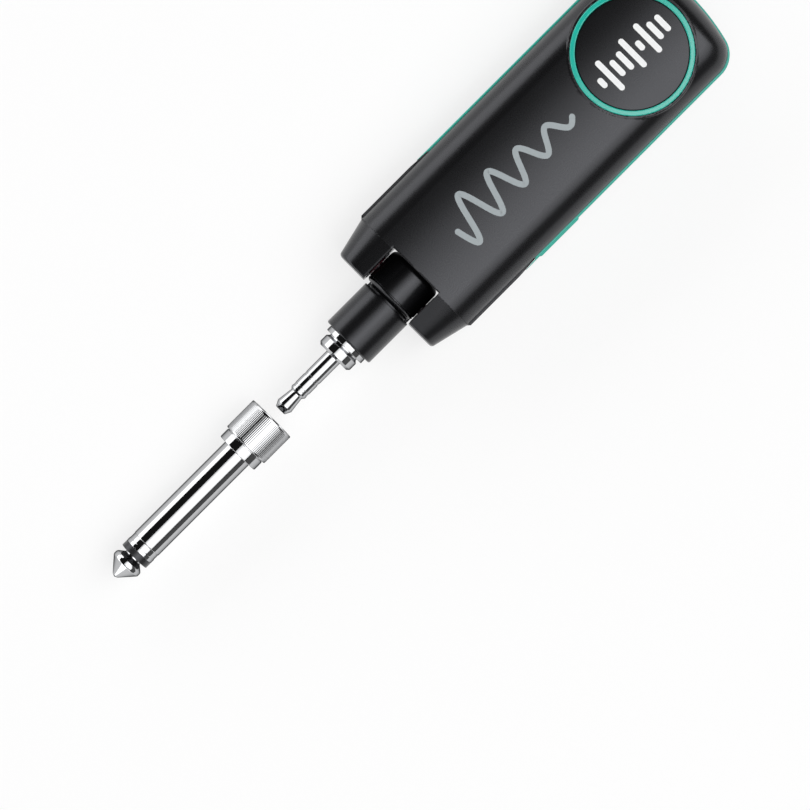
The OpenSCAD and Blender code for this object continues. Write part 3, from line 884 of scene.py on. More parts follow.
@dataclass(frozen=True)
class CircuitMask(Finish):
    """Solder mask over copper tracks."""

    track: float = 1.3
    track_edge: tuple[float, float] = (0.08, 0.14)
    track_tone: float = 1.9
    track_gloss: float = 0.08
    track_depth: float = 0.02

    def build(self, shader: Shader) -> bpy.types.Material:
        """Makes the material from its nodes.

        Args:
            shader: Where its nodes go.

        Returns:
            The material.
        """
        inputs = {"Vector": shader.place(), "Scale": 1 / self.track}
        cells = shader.node("ShaderNodeTexVoronoi", {"feature": "DISTANCE_TO_EDGE"}, inputs)
        track = 1 - shader.step(cells, *self.track_edge)
        return shader.finish(
            base_color=self.tinted(shader, track, 1, self.track_tone),
            roughness=self.roughness + track * -self.track_gloss,
            normal=shader.bump(track, self.track_depth))


@dataclass(frozen=True)
class CrinkledFoil(Finish):
    """Wrapped foil with shallow wrinkles."""

    wrinkle: float = 2.2
    wrinkle_depth: float = 0.05
    wrinkle_gloss: float = 0.2
    metallic: float = 0.6
    tones: tuple[float, float] = (0.88, 1.05)

    def build(self, shader: Shader) -> bpy.types.Material:
        """Makes the material from its nodes.

        Args:
            shader: Where its nodes go.

        Returns:
            The material.
        """
        wrinkle = shader.noise(self.wrinkle, detail=4)
        return shader.finish(
            base_color=self.tinted(shader, wrinkle, *self.tones), metallic=self.metallic,
            roughness=self.roughness + wrinkle.spread(self.wrinkle_gloss),
            normal=shader.bump(wrinkle, self.wrinkle_depth))


class Finishes:
    """The finishes of this object."""

    case = MouldedPlastic("satin_black", (0.0036, 0.0036, 0.0039), 0.28)
    badge = MouldedPlastic("badge_black", (0.0036, 0.0036, 0.0039), 0.28, grain_depth=0.0008)
    plug = MouldedPlastic("plug_black", (0.0034, 0.0034, 0.0037), 0.28)
    band = GlossPlastic("teal_band", (0.008, 0.36, 0.28), 0.35, coat=0.1)
    ring = GlossPlastic("teal_ring", (0.012, 0.42, 0.33), 0.3, coat=0.5)
    chrome = PlatedMetal("chrome", (0.52, 0.525, 0.535), 0.06, edge_tint=0.0)
    knurl = PlatedMetal("chrome_knurl", (0.52, 0.525, 0.535), 0.1, line=0.3, edge_tint=0.0)
    port = PlatedMetal("port_steel", (0.82, 0.83, 0.84), 0.22, line=0.05, along=2)
    steel = PlatedMetal("steel", (0.62, 0.62, 0.63), 0.3)
    gold = PlatedMetal("gold", (0.82, 0.58, 0.22), 0.2, line=0.05, along=1)
    jack_insulator = PlatedMetal("insulator_silver", (0.5, 0.505, 0.515), 0.14, edge_tint=0.12)
    insulator = MouldedPlastic("insulator_black", (0.016, 0.016, 0.017), 0.3)
    pin = PlatedMetal("blackened_steel", (0.03, 0.03, 0.032), 0.35, along=1)
    washer = MouldedPlastic("washer_red", (0.045, 0.004, 0.009), 0.5, grain=0.3, tone_spread=0.25)
    tongue = MouldedPlastic("tongue_black", (0.015, 0.015, 0.016), 0.45)
    ink_white = PrintedInk("ink_white", (0.86, 0.87, 0.87), 0.5)
    ink_grey = PrintedInk("ink_grey", (0.33, 0.37, 0.385), 0.5)
    board = CircuitMask("circuit_mask", (0.01, 0.09, 0.035), 0.4)
    foil = CrinkledFoil("battery_foil", (0.62, 0.63, 0.66), 0.35)
    ceramic = MouldedPlastic("antenna_ceramic", (0.62, 0.6, 0.55), 0.5, grain=0.08)
    switch = MouldedPlastic("switch_black", (0.03, 0.03, 0.032), 0.5)
    wire = MouldedPlastic("wire_red", (0.38, 0.02, 0.02), 0.45, grain=0.4)


# Pieces


def add_piece(name: str, mesh: MeshData, finish: Finish, body: Body,
              nodes: Sequence[str] = ()) -> None:
    """Puts a mesh into the scene as a piece of the object.

    Args:
        name: Name of the piece.
        mesh: Its mesh.
        finish: What it is made of.
        body: The body that it rides on.
        nodes: Solids that it stands for.
    """
    made = mesh.made()
    made.name = name
    piece = bpy.data.objects.new(name, made)
    bpy.context.scene.collection.objects.link(piece)
    made.materials.append(finish.material())
    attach(piece, body.value)
    if nodes:
        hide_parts(*nodes)
    log.info("%s: %d faces on %s", name, len(made.polygons), body.value)


def dress_node(node: str, finish: Finish) -> None:
    """Gives a solid of the frame its finish.

    Args:
        node: Name of the solid.
        finish: What it is made of.
    """
    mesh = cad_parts[node].data
    mesh.materials.clear()
    mesh.materials.append(finish.material())
    log.info("%s: solid of the frame, %s", node, finish.name)


@dataclass(frozen=True)
class TurnedPiece:
    """A piece turned about an axis along X, from the station, radius and rounding of each corner."""

    name: str
    node: str
    slot: str
    finish: Finish
    corners: tuple[tuple[float, ...], ...]
    ring: bool = True

    def build(self, origin: Point, body: Body) -> None:
        """Makes the piece with its stations from an origin."""
        mesh = Turned(origin).mesh(self.corners, self.ring)
        add_piece(self.name, mesh, self.finish, body, [self.node])


@dataclass(frozen=True)
class Stroke:
    """A printed stroke with round ends, a thin layer of ink on a surface."""

    width: float
    lift: float = 0.015
    sink: float = 0.03
    steps: int = 40
    thinnest: float = 0.04

    def mesh(self, path: Callable[[Array], Array], height: Callable[[Array], Array], side: int) -> MeshData:
        """The stroke as a closed layer.

        Args:
            path: Gives X and Y for shares of the way from 0 to 1.
            height: Gives the surface's Z for places on it.
            side: 1 where the ink lies on top of the surface, -1 where it lies under it.

        Returns:
            The layer of ink.
        """
        share = (1 - np.cos(np.linspace(0, math.pi, self.steps))) / 2
        middle = path(share)
        along = unit(np.gradient(middle, axis=0))
        run = np.concatenate([[0], np.cumsum(np.linalg.norm(np.diff(middle, axis=0), axis=1))])
        half = self.width / 2
        into = np.clip(1 - np.minimum(run, run[-1] - run) / half, 0, 1)
        reach = half * np.maximum(np.sqrt(1 - into ** 2), self.thinnest)[:, None]
        across = np.stack([-along[:, 1], along[:, 0]], 1) * side
        rows = []
        for edge, layer in ((1, self.lift), (-1, self.lift), (-1, -self.sink), (1, -self.sink)):
            flat = middle + across * reach * edge
            rows.append(np.column_stack([flat, height(flat) + side * layer]))
        points = np.stack(rows, 1).reshape(-1, 3)
        faces = [(0, 1, 2, 3), tuple(4 * (self.steps - 1) + k for k in (3, 2, 1, 0))]
        for i in range(self.steps - 1):
            for k in range(4):
                n = (k + 1) % 4
                faces.append((4 * i + k, 4 * i + 4 + k, 4 * i + 4 + n, 4 * i + n))
        return MeshData(points, faces)


# Sub-assemblies


@dataclass(frozen=True)
class Badge:
    """The round badges on the front and back: a teal ring, a black disc and printed sound bars."""

    x: float = -24.65
    diameter: float = 23.7
    ring_width: float = 1.0
    pocket: float = 0.8
    ring_proud: float = 0.2
    disc_height: float = 0.7
    rim: float = 0.5
    gap: float = 0.05
    edge: float = 0.22
    segments: int = 192
    disc_rings: int = 12
    bar_count: int = 9
    bar_pitch: float = 2.0
    bar_width: float = 1.15
    bar_low: float = 2.2
    bar_spread: float = 5.6
    bar_rhythm: tuple[float, float] = (1.9, 0.6)

    @property
    def radius(self) -> float:
        """Radius of the ring."""
        return self.diameter / 2

    @property
    def inner(self) -> float:
        """Inner radius of the ring."""
        return self.radius - self.ring_width

    @property
    def disc_radius(self) -> float:
        """Radius of the disc."""
        return self.inner - self.gap

    @property
    def turned(self) -> Turned:
        """What turns a profile about the badges' axis."""
        return Turned((self.x, 0, 0), 2, self.segments)

    def ring(self, low: float, high: float) -> MeshData:
        """The ring between two heights, flat, with its upper edges rounded.

        Args:
            low: Height of its lower face.
            high: Height of its upper face.

        Returns:
            Its mesh.
        """
        corners = [(low, self.inner), (low, self.radius), (high, self.radius, self.edge),
                   (high, self.inner, self.edge)]
        return self.turned.mesh(corners, True)

    def disc(self, low: float, high: float) -> MeshData:
        """The disc between two heights, flat, with its upper edge rounded.

        Args:
            low: Height of its lower face.
            high: Height of its upper face.

        Returns:
            Its mesh.
        """
        radius = self.disc_radius
        spokes = [radius * k / self.disc_rings for k in range(self.disc_rings)]
        corners = [(low, r) for r in spokes] + [(low, radius), (high, radius, self.edge)]
        corners += [(high, r) for r in reversed(spokes)]
        return self.turned.mesh(corners)

    def bars(self, height: Callable[[Array], Array], side: int) -> MeshData:
        """The printed sound bars.

        Args:
            height: Gives the disc's Z for places on it.
            side: 1 on the front, -1 on the back.

        Returns:
            Their mesh.
        """
        made = []
        pace, start = self.bar_rhythm
        for k in range(self.bar_count):
            x = self.x + (k - (self.bar_count - 1) / 2) * self.bar_pitch
            half = (self.bar_low + self.bar_spread * math.sin(pace * k + start) ** 2) / 2
            made.append(Stroke(self.bar_width).mesh(
                lambda share, x=x, half=half: np.stack([np.full_like(share, x), (2 * share - 1) * half], 1),
                height, side))
        return together(made)

    def build(self, thickness: float, crown: float) -> None:
        """Makes both badges.

        Args:
            thickness: Thickness of the case at its crest.
            crown: Radius of the case's crowned front.
        """
        seat = thickness - self.pocket
        ring = self.ring(seat, thickness + self.ring_proud).crowned(crown)
        add_piece("badge_ring_front", ring, Finishes.ring, Body.CASE, ["front_badge_ring"])
        top = seat + self.disc_height
        disc = self.disc(seat, top).crowned(crown)
        add_piece("badge_disc_front", disc, Finishes.badge, Body.CASE, ["front_badge_disc"])
        front = self.bars(lambda flat: top - crown + np.sqrt(crown ** 2 - flat[:, 1] ** 2), 1)
        add_piece("badge_bars_front", front, Finishes.ink_white, Body.CASE)
        corners = [(self.gap, self.inner, self.edge), (self.gap, self.radius, self.edge),
                   (self.pocket, self.radius), (self.pocket, self.inner)]
        ring = self.turned.mesh(corners, True)
        add_piece("badge_ring_back", ring, Finishes.ring, Body.CASE, ["back_badge_ring"])
        low = self.pocket - self.disc_height
        corners = [(low, 0), (low, self.disc_radius, self.edge), (self.pocket, self.disc_radius),
                   (self.pocket, 0)]
        disc = self.turned.mesh(corners)
        add_piece("badge_disc_back", disc, Finishes.badge, Body.CASE, ["back_badge_disc"])
        back = self.bars(lambda flat: np.full(len(flat), low), -1)
        add_piece("badge_bars_back", back, Finishes.ink_white, Body.CASE)


@dataclass(frozen=True)
class ChargingPort:
    """The charging port in the back: a steel shell round a black tongue with gilded contacts."""

    x: float = 21.95
    width: float = 9.25
    height: float = 3.3
    rim: float = 0.48
    low: float = 0.1
    high: float = 6.3
    cut_gap: float = 0.1
    edge: float = 0.16
    tongue_thickness: float = 0.7
    tongue_low: float = 0.9
    contact_count: int = 12
    contact_pitch: float = 0.5
    contact: Point = (0.02, 0.26, 3.6)
    contact_start: float = 0.4

    def hole(self) -> Form:
        """The opening for the port in the back shell.

        Returns:
            The opening as a form.
        """
        half_u, half_v = self.height / 2 + self.cut_gap, self.width / 2 + self.cut_gap
        slot = Form(lambda x, y, z: rounded_rectangle(x - self.x, y, half_u, half_v, half_u))
        return slot.meet(half_space(2, self.high, 1))

    def build(self) -> None:
        """Makes the port's shell and contacts."""
        outer = self.height / 2
        sweep = Turned((self.x, 0, 0), 2, half_slot=(self.width - self.height) / 2)
        inner = outer - self.rim
        corners = [(self.low, inner, self.edge), (self.low, outer, self.edge), (self.high, outer),
                   (self.high, inner)]
        add_piece("port_shell", sweep.mesh(corners, True), Finishes.port, Body.CASE,
                  ["usb_port_shell"])
        dress_node("usb_port_tongue", Finishes.tongue)
        deep, wide, tall = self.contact
        strips = []
        for side in (-1, 1):
            x = self.x + side * (self.tongue_thickness / 2 + deep / 2)
            for k in range(self.contact_count):
                y = (k - (self.contact_count - 1) / 2) * self.contact_pitch
                low = np.array([x - deep, y - wide / 2, self.tongue_low + self.contact_start])
                strips.append(block(low, low + np.array([2 * deep, wide, tall])))
        add_piece("port_contacts", together(strips), Finishes.gold, Body.CASE)


@dataclass(frozen=True)
class SideButton:
    """The power button in the side band."""

    x0: float = 3.9
    x1: float = 14.4
    z: float = 8.0
    height: float = 2.4
    inner_y: float = 12.05
    outer_y: float = 14.95
    flange: float = 0.4
    flange_depth: float = 0.5
    gap: float = 0.15
    edge: float = 0.3
    end_lean: float = 0.8
    end_cut: float = 0.3
    end_edge: float = 0.15
    flange_edge: float = 0.1
    grid_ends: tuple[float, float] = (0.7, 1.3)
    grid_margin: float = 0.2
    grid_step: float = 0.1
    grid_wide_step: float = 0.6

    def window(self) -> Form:
        """The opening for the button in the side band."""
        half = self.height / 2 + self.gap
        return box_form((self.x0 - self.gap, 0, self.z - half),
                        (self.x1 + self.gap, 2 * self.outer_y, self.z + half))

    def build(self) -> None:
        """Makes the button."""
        half = self.height / 2
        lean, step = self.end_lean, self.grid_step
        pad = box_form((self.x0, self.inner_y, self.z - half), (self.x1, self.outer_y, self.z + half),
                       self.edge)
        for end, side in ((self.x0, -1), (self.x1, 1)):
            slope = Form(lambda x, y, z, end=end, side=side: (
                side * (x - end) + (y - self.outer_y) * lean + self.end_cut) / math.hypot(1, lean))
            pad = pad.meet(slope, self.end_edge)
        wide = half + self.flange
        flange = box_form((self.x0 - self.flange, self.inner_y, self.z - wide),
                          (self.x1 + self.flange, self.inner_y + self.flange_depth, self.z + wide),
                          self.flange_edge)
        past, within = self.grid_ends
        tall = wide + self.grid_margin
        xs = spaced(self.x0 - past, (self.x0 + within, step), (self.x1 - within, self.grid_wide_step),
                    (self.x1 + past, step))
        ys = spaced(self.inner_y - self.grid_margin, (self.outer_y + self.grid_margin, step))
        grid = Contour(xs, ys, spaced(self.z - tall, (self.z + tall, step)))
        add_piece("side_button", grid.mesh(pad.join(flange)), Finishes.band, Body.BUTTON,
                  ["power_button"])


@dataclass(frozen=True)
class Case:
    """The two shells of the body and the teal band between them."""

    badge: Badge
    port: ChargingPort
    button: SideButton
    length: float = 81.95
    tip_x: float = 41.1
    width: float = 29.4
    thickness: float = 16.0
    shoulder: float = 7.0
    crown: float = 56.0
    wall: float = 1.4
    end_wall: float = 5.0
    end_corner: float = 5.4
    end_bulge: float = 2.6
    end_lift: float = 0.2
    end_blend: float = 3.5
    band_proud: float = 0.3
    band_height: float = 3.4
    band_depth: float = 2.0
    band_back: float = 25.8
    cheek_ramp: float = 4.5
    band_lap: float = 0.6
    nose_step: float = 0.2
    nose_taper: float = 1.85
    nose_length: float = 7.7
    nose_dip: float = 0.1
    nose_drop: float = 1.9
    fork_shoulder: float = 4.6
    fork_reach: float = 3.8
    slot_back: float = 4.3
    slot_width: float = 12.1
    slot_y: float = 0.1
    recess_back: float = 13.2
    recess_depth: float = 6.5
    hinge_z: float = 5.9
    cavity: float = 8.15
    pin_hole: float = 1.25
    pin_reach: float = 3.05
    wire_hole: float = 0.6
    wire_z: float = 5.75
    wire_reach: float = 8.55
    board_top: float = 7.3
    post_radius: float = 1.6
    post_bore: float = 0.8
    post_xs: tuple[float, float] = (-30.25, 16.8)
    post_y: float = 11.0
    screw_grip: float = 4.0
    tail_side: float = 4.4
    inner_end: float = 19.3
    board_tail: float = 23.6
    board_tail_half: float = 5.475
    gap: float = 0.05
    seam_edge: float = 0.12
    lip_edge: float = 0.18
    slot_edge: float = 0.12
    tip_edge: float = 0.55
    cheek_edge: float = 0.15
    boss_edge: float = 0.2
    boss_fillet: float = 0.12
    seat_edge: float = 0.1
    port_edge: float = 0.12
    band_edge: float = 0.3
    window_edge: float = 0.1
    nose_lap: float = 0.6
    overlap: float = 1.0
    past_tip: float = 5.0
    wave_x: tuple[float, float] = (22.5, -8.5)
    wave_height: float = 5.0
    wave_turns: float = 4.5
    wave_decay: float = 0.75
    wave_width: float = 1.15
    wave_steps: int = 260
    arcs_x: float = 3.0
    arcs: tuple[float, ...] = (2.2, 3.8, 5.4)
    arc_angle: float = 90.0
    arc_width: float = 0.6
    # Grid lines of the shells: margins, and the end and step of each stretch
    far_margin: float = 0.6
    tip_margin: float = 0.4
    flat_margin: float = 0.5
    shell_xs: tuple[tuple[float, float], ...] = ((-37.4, 0.28), (-12.3, 0.25), (14.0, 0.9), (31.0, 0.4))
    tip_step: float = 0.22
    shell_half: float = 15.1
    shell_step: float = 0.26
    seam_reach: float = 0.3
    seam_step: float = 0.06
    # Grid lines of the band: fine at its bends and coarse between them
    band_margin: float = 0.4
    band_bends: tuple[float, float] = (-33.0, 3.0)
    band_half: float = 15.0
    band_inner: float = 12.4
    band_tall: float = 1.95
    band_steps: tuple[float, float, float, float] = (0.16, 1.2, 0.3, 0.15)
    # Keeps the grid lines off the planes of the forms
    grid_shift: Point = (0.0131, 0.0073, 0.0057)

    @property
    def far_x(self) -> float:
        """The far end, away from the plug."""
        return self.tip_x - self.length

    @property
    def hinge_x(self) -> float:
        """The hinge axis."""
        return self.tip_x - self.fork_reach

    @property
    def nose_x(self) -> float:
        """Where the nose starts."""
        return self.tip_x - self.nose_length

    @property
    def band_x(self) -> float:
        """The ends of the band."""
        return self.tip_x - self.band_back

    @property
    def half(self) -> float:
        """Half the width of the shells."""
        return self.width / 2 - self.band_proud

    @property
    def seam_z(self) -> float:
        """The plane between the two shells."""
        return self.thickness / 2

    @property
    def bulge(self) -> float:
        """Radius of the bulged far end, seen from the front."""
        return (self.width ** 2 / 4 + self.end_bulge ** 2) / (2 * self.end_bulge)

    def section(self, y: Array, z: Array, half: Any, top: Any, shoulder: Any, crown: float) -> Array:
        """Distance to the cross-section: flat back, round shoulders and crowned front.

        Args:
            y: Places across.
            z: Heights.
            half: Half the width.
            top: Height of the crest.
            shoulder: Radius of the shoulders.
            crown: Radius of the crown.

        Returns:
            The distance, negative inside.
        """
        rise = np.sqrt((crown - shoulder) ** 2 - (half - shoulder) ** 2)
        high = top - crown + rise + shoulder
        sides = rounded_rectangle(y, z - high / 2, half, high / 2, shoulder)
        over = z - top + crown
        crest = (over > rise) & (np.abs(y) * rise < (half - shoulder) * over)
        return np.where(crest, np.hypot(y, over) - crown, sides)

    def plan(self, inset: float) -> Form:
        """The outline from the front, drawn in by an inset, as an endless upright form.

        Args:
            inset: How far it is drawn in.

        Returns:
            The outline as a form.
        """
        middle = self.far_x + self.bulge
        round_r = self.end_corner - inset
        corner_y = self.width / 2 - self.end_corner
        corner_x = middle - math.sqrt((self.bulge - self.end_corner) ** 2 - corner_y ** 2)

        def values(x: Array, y: Array, z: Array) -> Array:
            """Distance to the outline.

            Args:
                x: Places along.
                y: Places across.
                z: Heights.

            Returns:
                The distance, negative inside.
            """
            side = np.abs(y)
            straight = np.maximum(side - corner_y, np.hypot(x - middle, y) - self.bulge + self.end_corner)
            beyond = (x < corner_x) & (side * (middle - corner_x) > corner_y * (middle - x))
            outline = np.where(beyond, np.hypot(x - corner_x, side - corner_y), straight) - round_r
            step = (x - self.nose_x + self.nose_step + side - self.width / 2 + inset) / math.sqrt(2)
            return np.maximum(outline, step)

        return Form(values)

    def main_form(self) -> Form:
        """The body behind the nose.

        Returns:
            The body as a form.
        """
        middle = self.far_x + self.bulge
        radius = self.bulge - self.band_proud
        half_height = self.thickness / 2 + self.end_lift

        def values(x: Array, y: Array, z: Array) -> Array:
            """Distance to the bar with its bulged end, whose corners are rounded most at the seam.

            Args:
                x: Places along.
                y: Places across.
                z: Heights.

            Returns:
                The distance, negative inside.
            """
            bar = self.section(y, z, self.half, self.thickness, self.shoulder, self.crown)
            above = np.abs(z - self.seam_z)
            end = rounded_rectangle(np.hypot(x - middle, y), above, radius, half_height, self.shoulder)
            level = np.clip((above - self.seam_z + self.shoulder) / self.shoulder, 0, 1)
            return rounded_max(bar, end, self.end_blend * (1 - level ** 2))

        return Form(values).meet(self.plan(self.band_proud)).meet(half_space(0, self.nose_x, 1))

    def nose_form(self) -> Form:
        """The nose, which narrows to the fork while its front face drops.

        Returns:
            The nose as a form.
        """
        half = self.half - self.nose_step
        lean = math.cos(math.atan(self.nose_taper / self.nose_length))

        def values(x: Array, y: Array, z: Array) -> Array:
            """Distance to the nose.

            Args:
                x: Places along.
                y: Places across.
                z: Heights.

            Returns:
                The distance, negative inside.
            """
            share = np.clip((x - self.nose_x) / self.nose_length, 0, 1)
            top = self.thickness - self.nose_dip - (self.nose_drop - self.nose_dip) * share
            shoulder = self.shoulder + (self.fork_shoulder - self.shoulder) * share
            return self.section(y, z, half - self.nose_taper * share, top, shoulder, self.crown) * lean

        start = half_space(0, self.nose_x - self.nose_lap, -1)
        return Form(values).meet(half_space(0, self.tip_x, 1), self.tip_edge).meet(start)

    def cheek_rise(self, x: Array) -> Array:
        """How far the cheeks stand out from the shells."""
        return np.clip((x - self.band_x) / self.cheek_ramp, 0, 1) * self.band_proud

    def cheek_form(self) -> Form:
        """The cheeks, which carry the line of the band on to the nose.

        Returns:
            The cheeks as a form.
        """
        def values(x: Array, y: Array, z: Array) -> Array:
            """Distance to the cheeks.

            Args:
                x: Places along.
                y: Places across.
                z: Heights.

            Returns:
                The distance, negative inside.
            """
            side = np.abs(y)
            outer = side - self.half - self.cheek_rise(x)
            corner = self.nose_x - self.nose_step - self.band_proud
            step = (x - corner + side - self.width / 2) / math.sqrt(2)
            inner = self.half - self.wall - side
            return np.maximum.reduce([outer, step, inner, self.band_x - x])

        form = Form(values).meet(self.layer(self.band_height / 2), self.cheek_edge)
        return form.meet(half_space(0, self.nose_x, 1))

    def layer(self, reach: float) -> Form:
        """All places within a height above and below the seam."""
        return Form(lambda x, y, z: np.abs(z - self.seam_z) - reach)

    def crown_bar(self, lift: float) -> Form:
        """A bar along X whose top is the crown, raised by a lift."""
        return Form(lambda x, y, z: np.hypot(y, z - self.thickness + self.crown) - self.crown - lift)

    def badge_bar(self, radius: float) -> Form:
        """An upright cylinder at the badges."""
        return Form(lambda x, y, z: np.hypot(x - self.badge.x, y) - radius)

    def outer_form(self) -> Form:
        """The closed outer form of both shells.

        Returns:
            The form, with the boss round the badges.
        """
        seat = self.badge_bar(self.badge.radius + self.gap + self.badge.rim)
        boss = seat.meet(self.crown_bar(self.gap), self.boss_edge)
        boss = boss.meet(half_space(2, 0, -1), self.boss_edge)
        body = self.main_form().join(self.nose_form()).join(self.cheek_form())
        return body.join(boss, self.boss_fillet)

    def inner_form(self) -> Form:
        """The space for the electronics.

        Returns:
            The space as a form.
        """
        wall = self.wall
        high = self.thickness - 2 * wall
        low_z = self.recess_depth + wall
        tail_x = self.hinge_x - self.cavity - wall
        tail_y = self.half - self.tail_side
        hollow = Form(lambda x, y, z: self.section(
            y, z - wall, self.half - wall, high, self.shoulder - wall, self.crown - wall))
        hollow = hollow.meet(half_space(0, self.far_x + self.end_wall, -1))
        hollow = hollow.meet(half_space(0, self.inner_end, 1))
        half_tail = self.board_tail_half
        start = self.inner_end - self.overlap
        port = box_form((start, -half_tail, wall), (self.board_tail, half_tail, high))
        tail = box_form((start, -tail_y, low_z), (tail_x, tail_y, high))
        return hollow.join(port).join(tail)

    def fold_form(self) -> Form:
        """The slot, recess and cavity that the plug swings through.

        Returns:
            All three as a form.
        """
        low, high = self.slot_y - self.slot_width / 2, self.slot_y + self.slot_width / 2
        beyond = 2 * self.thickness
        end = self.tip_x + self.past_tip
        slot = box_form((self.hinge_x - self.slot_back, low, -beyond), (end, high, beyond))
        recess = box_form((self.hinge_x - self.recess_back, low, -beyond), (end, high, self.recess_depth))
        hollow = rod_form(1, (self.hinge_x, 0, self.hinge_z), self.cavity, low, high)
        return slot.join(recess).join(hollow)

    def band_space(self) -> Form:
        """The space that the band fills."""
        space = self.layer(self.band_height / 2 + self.gap).cut(self.plan(self.band_depth + self.gap))
        return space.meet(half_space(0, self.band_x + self.gap, 1))

    def posts(self, radius: float, low: float, high: float) -> Form:
        """An upright bar at each board screw.

        Args:
            radius: Radius of the bars.
            low: Height of their lower ends.
            high: Height of their upper ends.

        Returns:
            The bars as a form.
        """
        first, second = (rod_form(2, (x, self.post_y, 0), radius, low, high) for x in self.post_xs)
        return first.join(second).mirrored()

    def grid(self, low: float, high: float) -> Contour:
        """The grid for a shell, fine where its surface turns in more than one direction.

        Args:
            low: Lowest height.
            high: Highest height.

        Returns:
            The grid.
        """
        xs = spaced(self.far_x - self.far_margin, *self.shell_xs,
                    (self.tip_x + self.tip_margin, self.tip_step))
        ys = spaced(-self.shell_half, (self.shell_half, self.shell_step))
        zs = spaced(low, (self.seam_z - self.seam_reach, self.shell_step),
                    (self.seam_z + self.seam_reach, self.seam_step), (high, self.shell_step))
        return Contour(xs, ys, zs, self.grid_shift)

    def shell_form(self, side: int, seat: Form) -> Form:
        """One shell with its cuts for the band, the plug and the badge.

        Args:
            side: 1 for the back shell, -1 for the front one.
            seat: The badge's seat in it.

        Returns:
            The shell as a form, not yet hollow.
        """
        half = half_space(2, self.seam_z - side * self.gap / 2, side)
        shell = self.outer_form().meet(half, self.seam_edge).cut(self.band_space(), self.lip_edge)
        return shell.cut(self.fold_form(), self.slot_edge).cut(seat, self.seat_edge)

    def build_front(self) -> None:
        """Makes the front shell."""
        seat = self.badge_bar(self.badge.radius + self.gap).cut(self.crown_bar(-self.badge.pocket))
        hollow = self.inner_form().cut(self.posts(self.post_radius, self.board_top, self.thickness))
        bores = self.posts(self.post_bore, 0, self.board_top + self.screw_grip)
        shell = self.shell_form(-1, seat).cut(hollow).cut(bores)
        grid = self.grid(self.seam_z - self.seam_reach, self.thickness + self.flat_margin)
        add_piece("shell_front", grid.mesh(shell), Finishes.case, Body.CASE, ["front_shell"])

    def build_back(self) -> None:
        """Makes the back shell."""
        seat = self.badge_bar(self.badge.radius + self.gap).meet(half_space(2, self.badge.pocket, 1))
        cheek_y = self.slot_y + self.slot_width / 2
        pins = rod_form(1, (self.hinge_x, 0, self.hinge_z), self.pin_hole, cheek_y - self.overlap,
                        cheek_y + self.pin_reach).mirrored(self.slot_y)
        wires = rod_form(0, (0, self.slot_y + self.wire_reach, self.wire_z), self.wire_hole,
                         self.inner_end - self.overlap, self.hinge_x).mirrored(self.slot_y)
        shell = self.shell_form(1, seat).cut(self.port.hole(), self.port_edge)
        shell = shell.cut(self.inner_form()).cut(pins).cut(wires)
        grid = self.grid(-self.flat_margin, self.seam_z + self.seam_reach)
        add_piece("shell_back", grid.mesh(shell), Finishes.case, Body.CASE, ["back_shell"])

    def build_band(self) -> None:
        """Makes the teal band."""
        band = self.plan(0).meet(self.layer(self.band_height / 2), self.band_edge)
        band = band.cut(self.plan(self.band_depth))
        lap_x = self.band_x + self.band_lap * self.cheek_ramp
        end = Form(lambda x, y, z: np.minimum(
            x - self.band_x, self.half + self.gap + self.cheek_rise(x) - np.abs(y)))
        band = band.meet(end).meet(half_space(0, lap_x, 1)).cut(self.button.window(), self.window_edge)
        fine, coarse, middle, tall = self.band_steps
        first, last = self.band_bends
        xs = spaced(self.far_x - self.band_margin, (first, fine), (last, coarse),
                    (lap_x + self.band_margin, fine))
        ys = spaced(-self.band_half, (-self.band_inner, fine), (self.band_inner, middle),
                    (self.band_half, fine))
        zs = spaced(self.seam_z - self.band_tall, (self.seam_z + self.band_tall, tall))
        mesh = Contour(xs, ys, zs, self.grid_shift).mesh(band)
        add_piece("band", mesh, Finishes.band, Body.CASE, ["side_band"])

    def build_prints(self) -> None:
        """Makes the printed wave on the front and the printed arcs on the back."""
        start, end = self.wave_x

        def wave(share: Array) -> Array:
            """The wave of a plucked string that dies away.

            Args:
                share: Shares of the way from 0 to 1.

            Returns:
                X and Y, one place a row.
            """
            height = self.wave_height * (1 - self.wave_decay * share)
            swing = height * np.sin(2 * math.pi * self.wave_turns * share)
            return np.stack([start + (end - start) * share, swing], 1)

        def crown(flat: Array) -> Array:
            """Height of the crowned front."""
            return self.thickness - self.crown + np.sqrt(self.crown ** 2 - flat[:, 1] ** 2)

        stroke = Stroke(self.wave_width, steps=self.wave_steps)
        add_piece("print_wave", stroke.mesh(wave, crown, 1), Finishes.ink_grey, Body.CASE)
        made = []
        for radius in self.arcs:
            def arc(share: Array, radius: float = radius) -> Array:
                """One arc round the middle of the print."""
                turn = (share - 0.5) * math.radians(self.arc_angle)
                return np.stack([self.arcs_x - radius * np.cos(turn), radius * np.sin(turn)], 1)

            made.append(Stroke(self.arc_width).mesh(arc, lambda flat: np.zeros(len(flat)), -1))
        add_piece("print_arcs", together(made), Finishes.ink_grey, Body.CASE)

    def build(self) -> None:
        """Makes the shells, the band and the prints, with the badges, port and button that they carry."""
        self.build_front()
        self.build_back()
        self.build_band()
        self.build_prints()
        self.badge.build(self.thickness, self.crown)
        self.port.build()
        self.button.build()


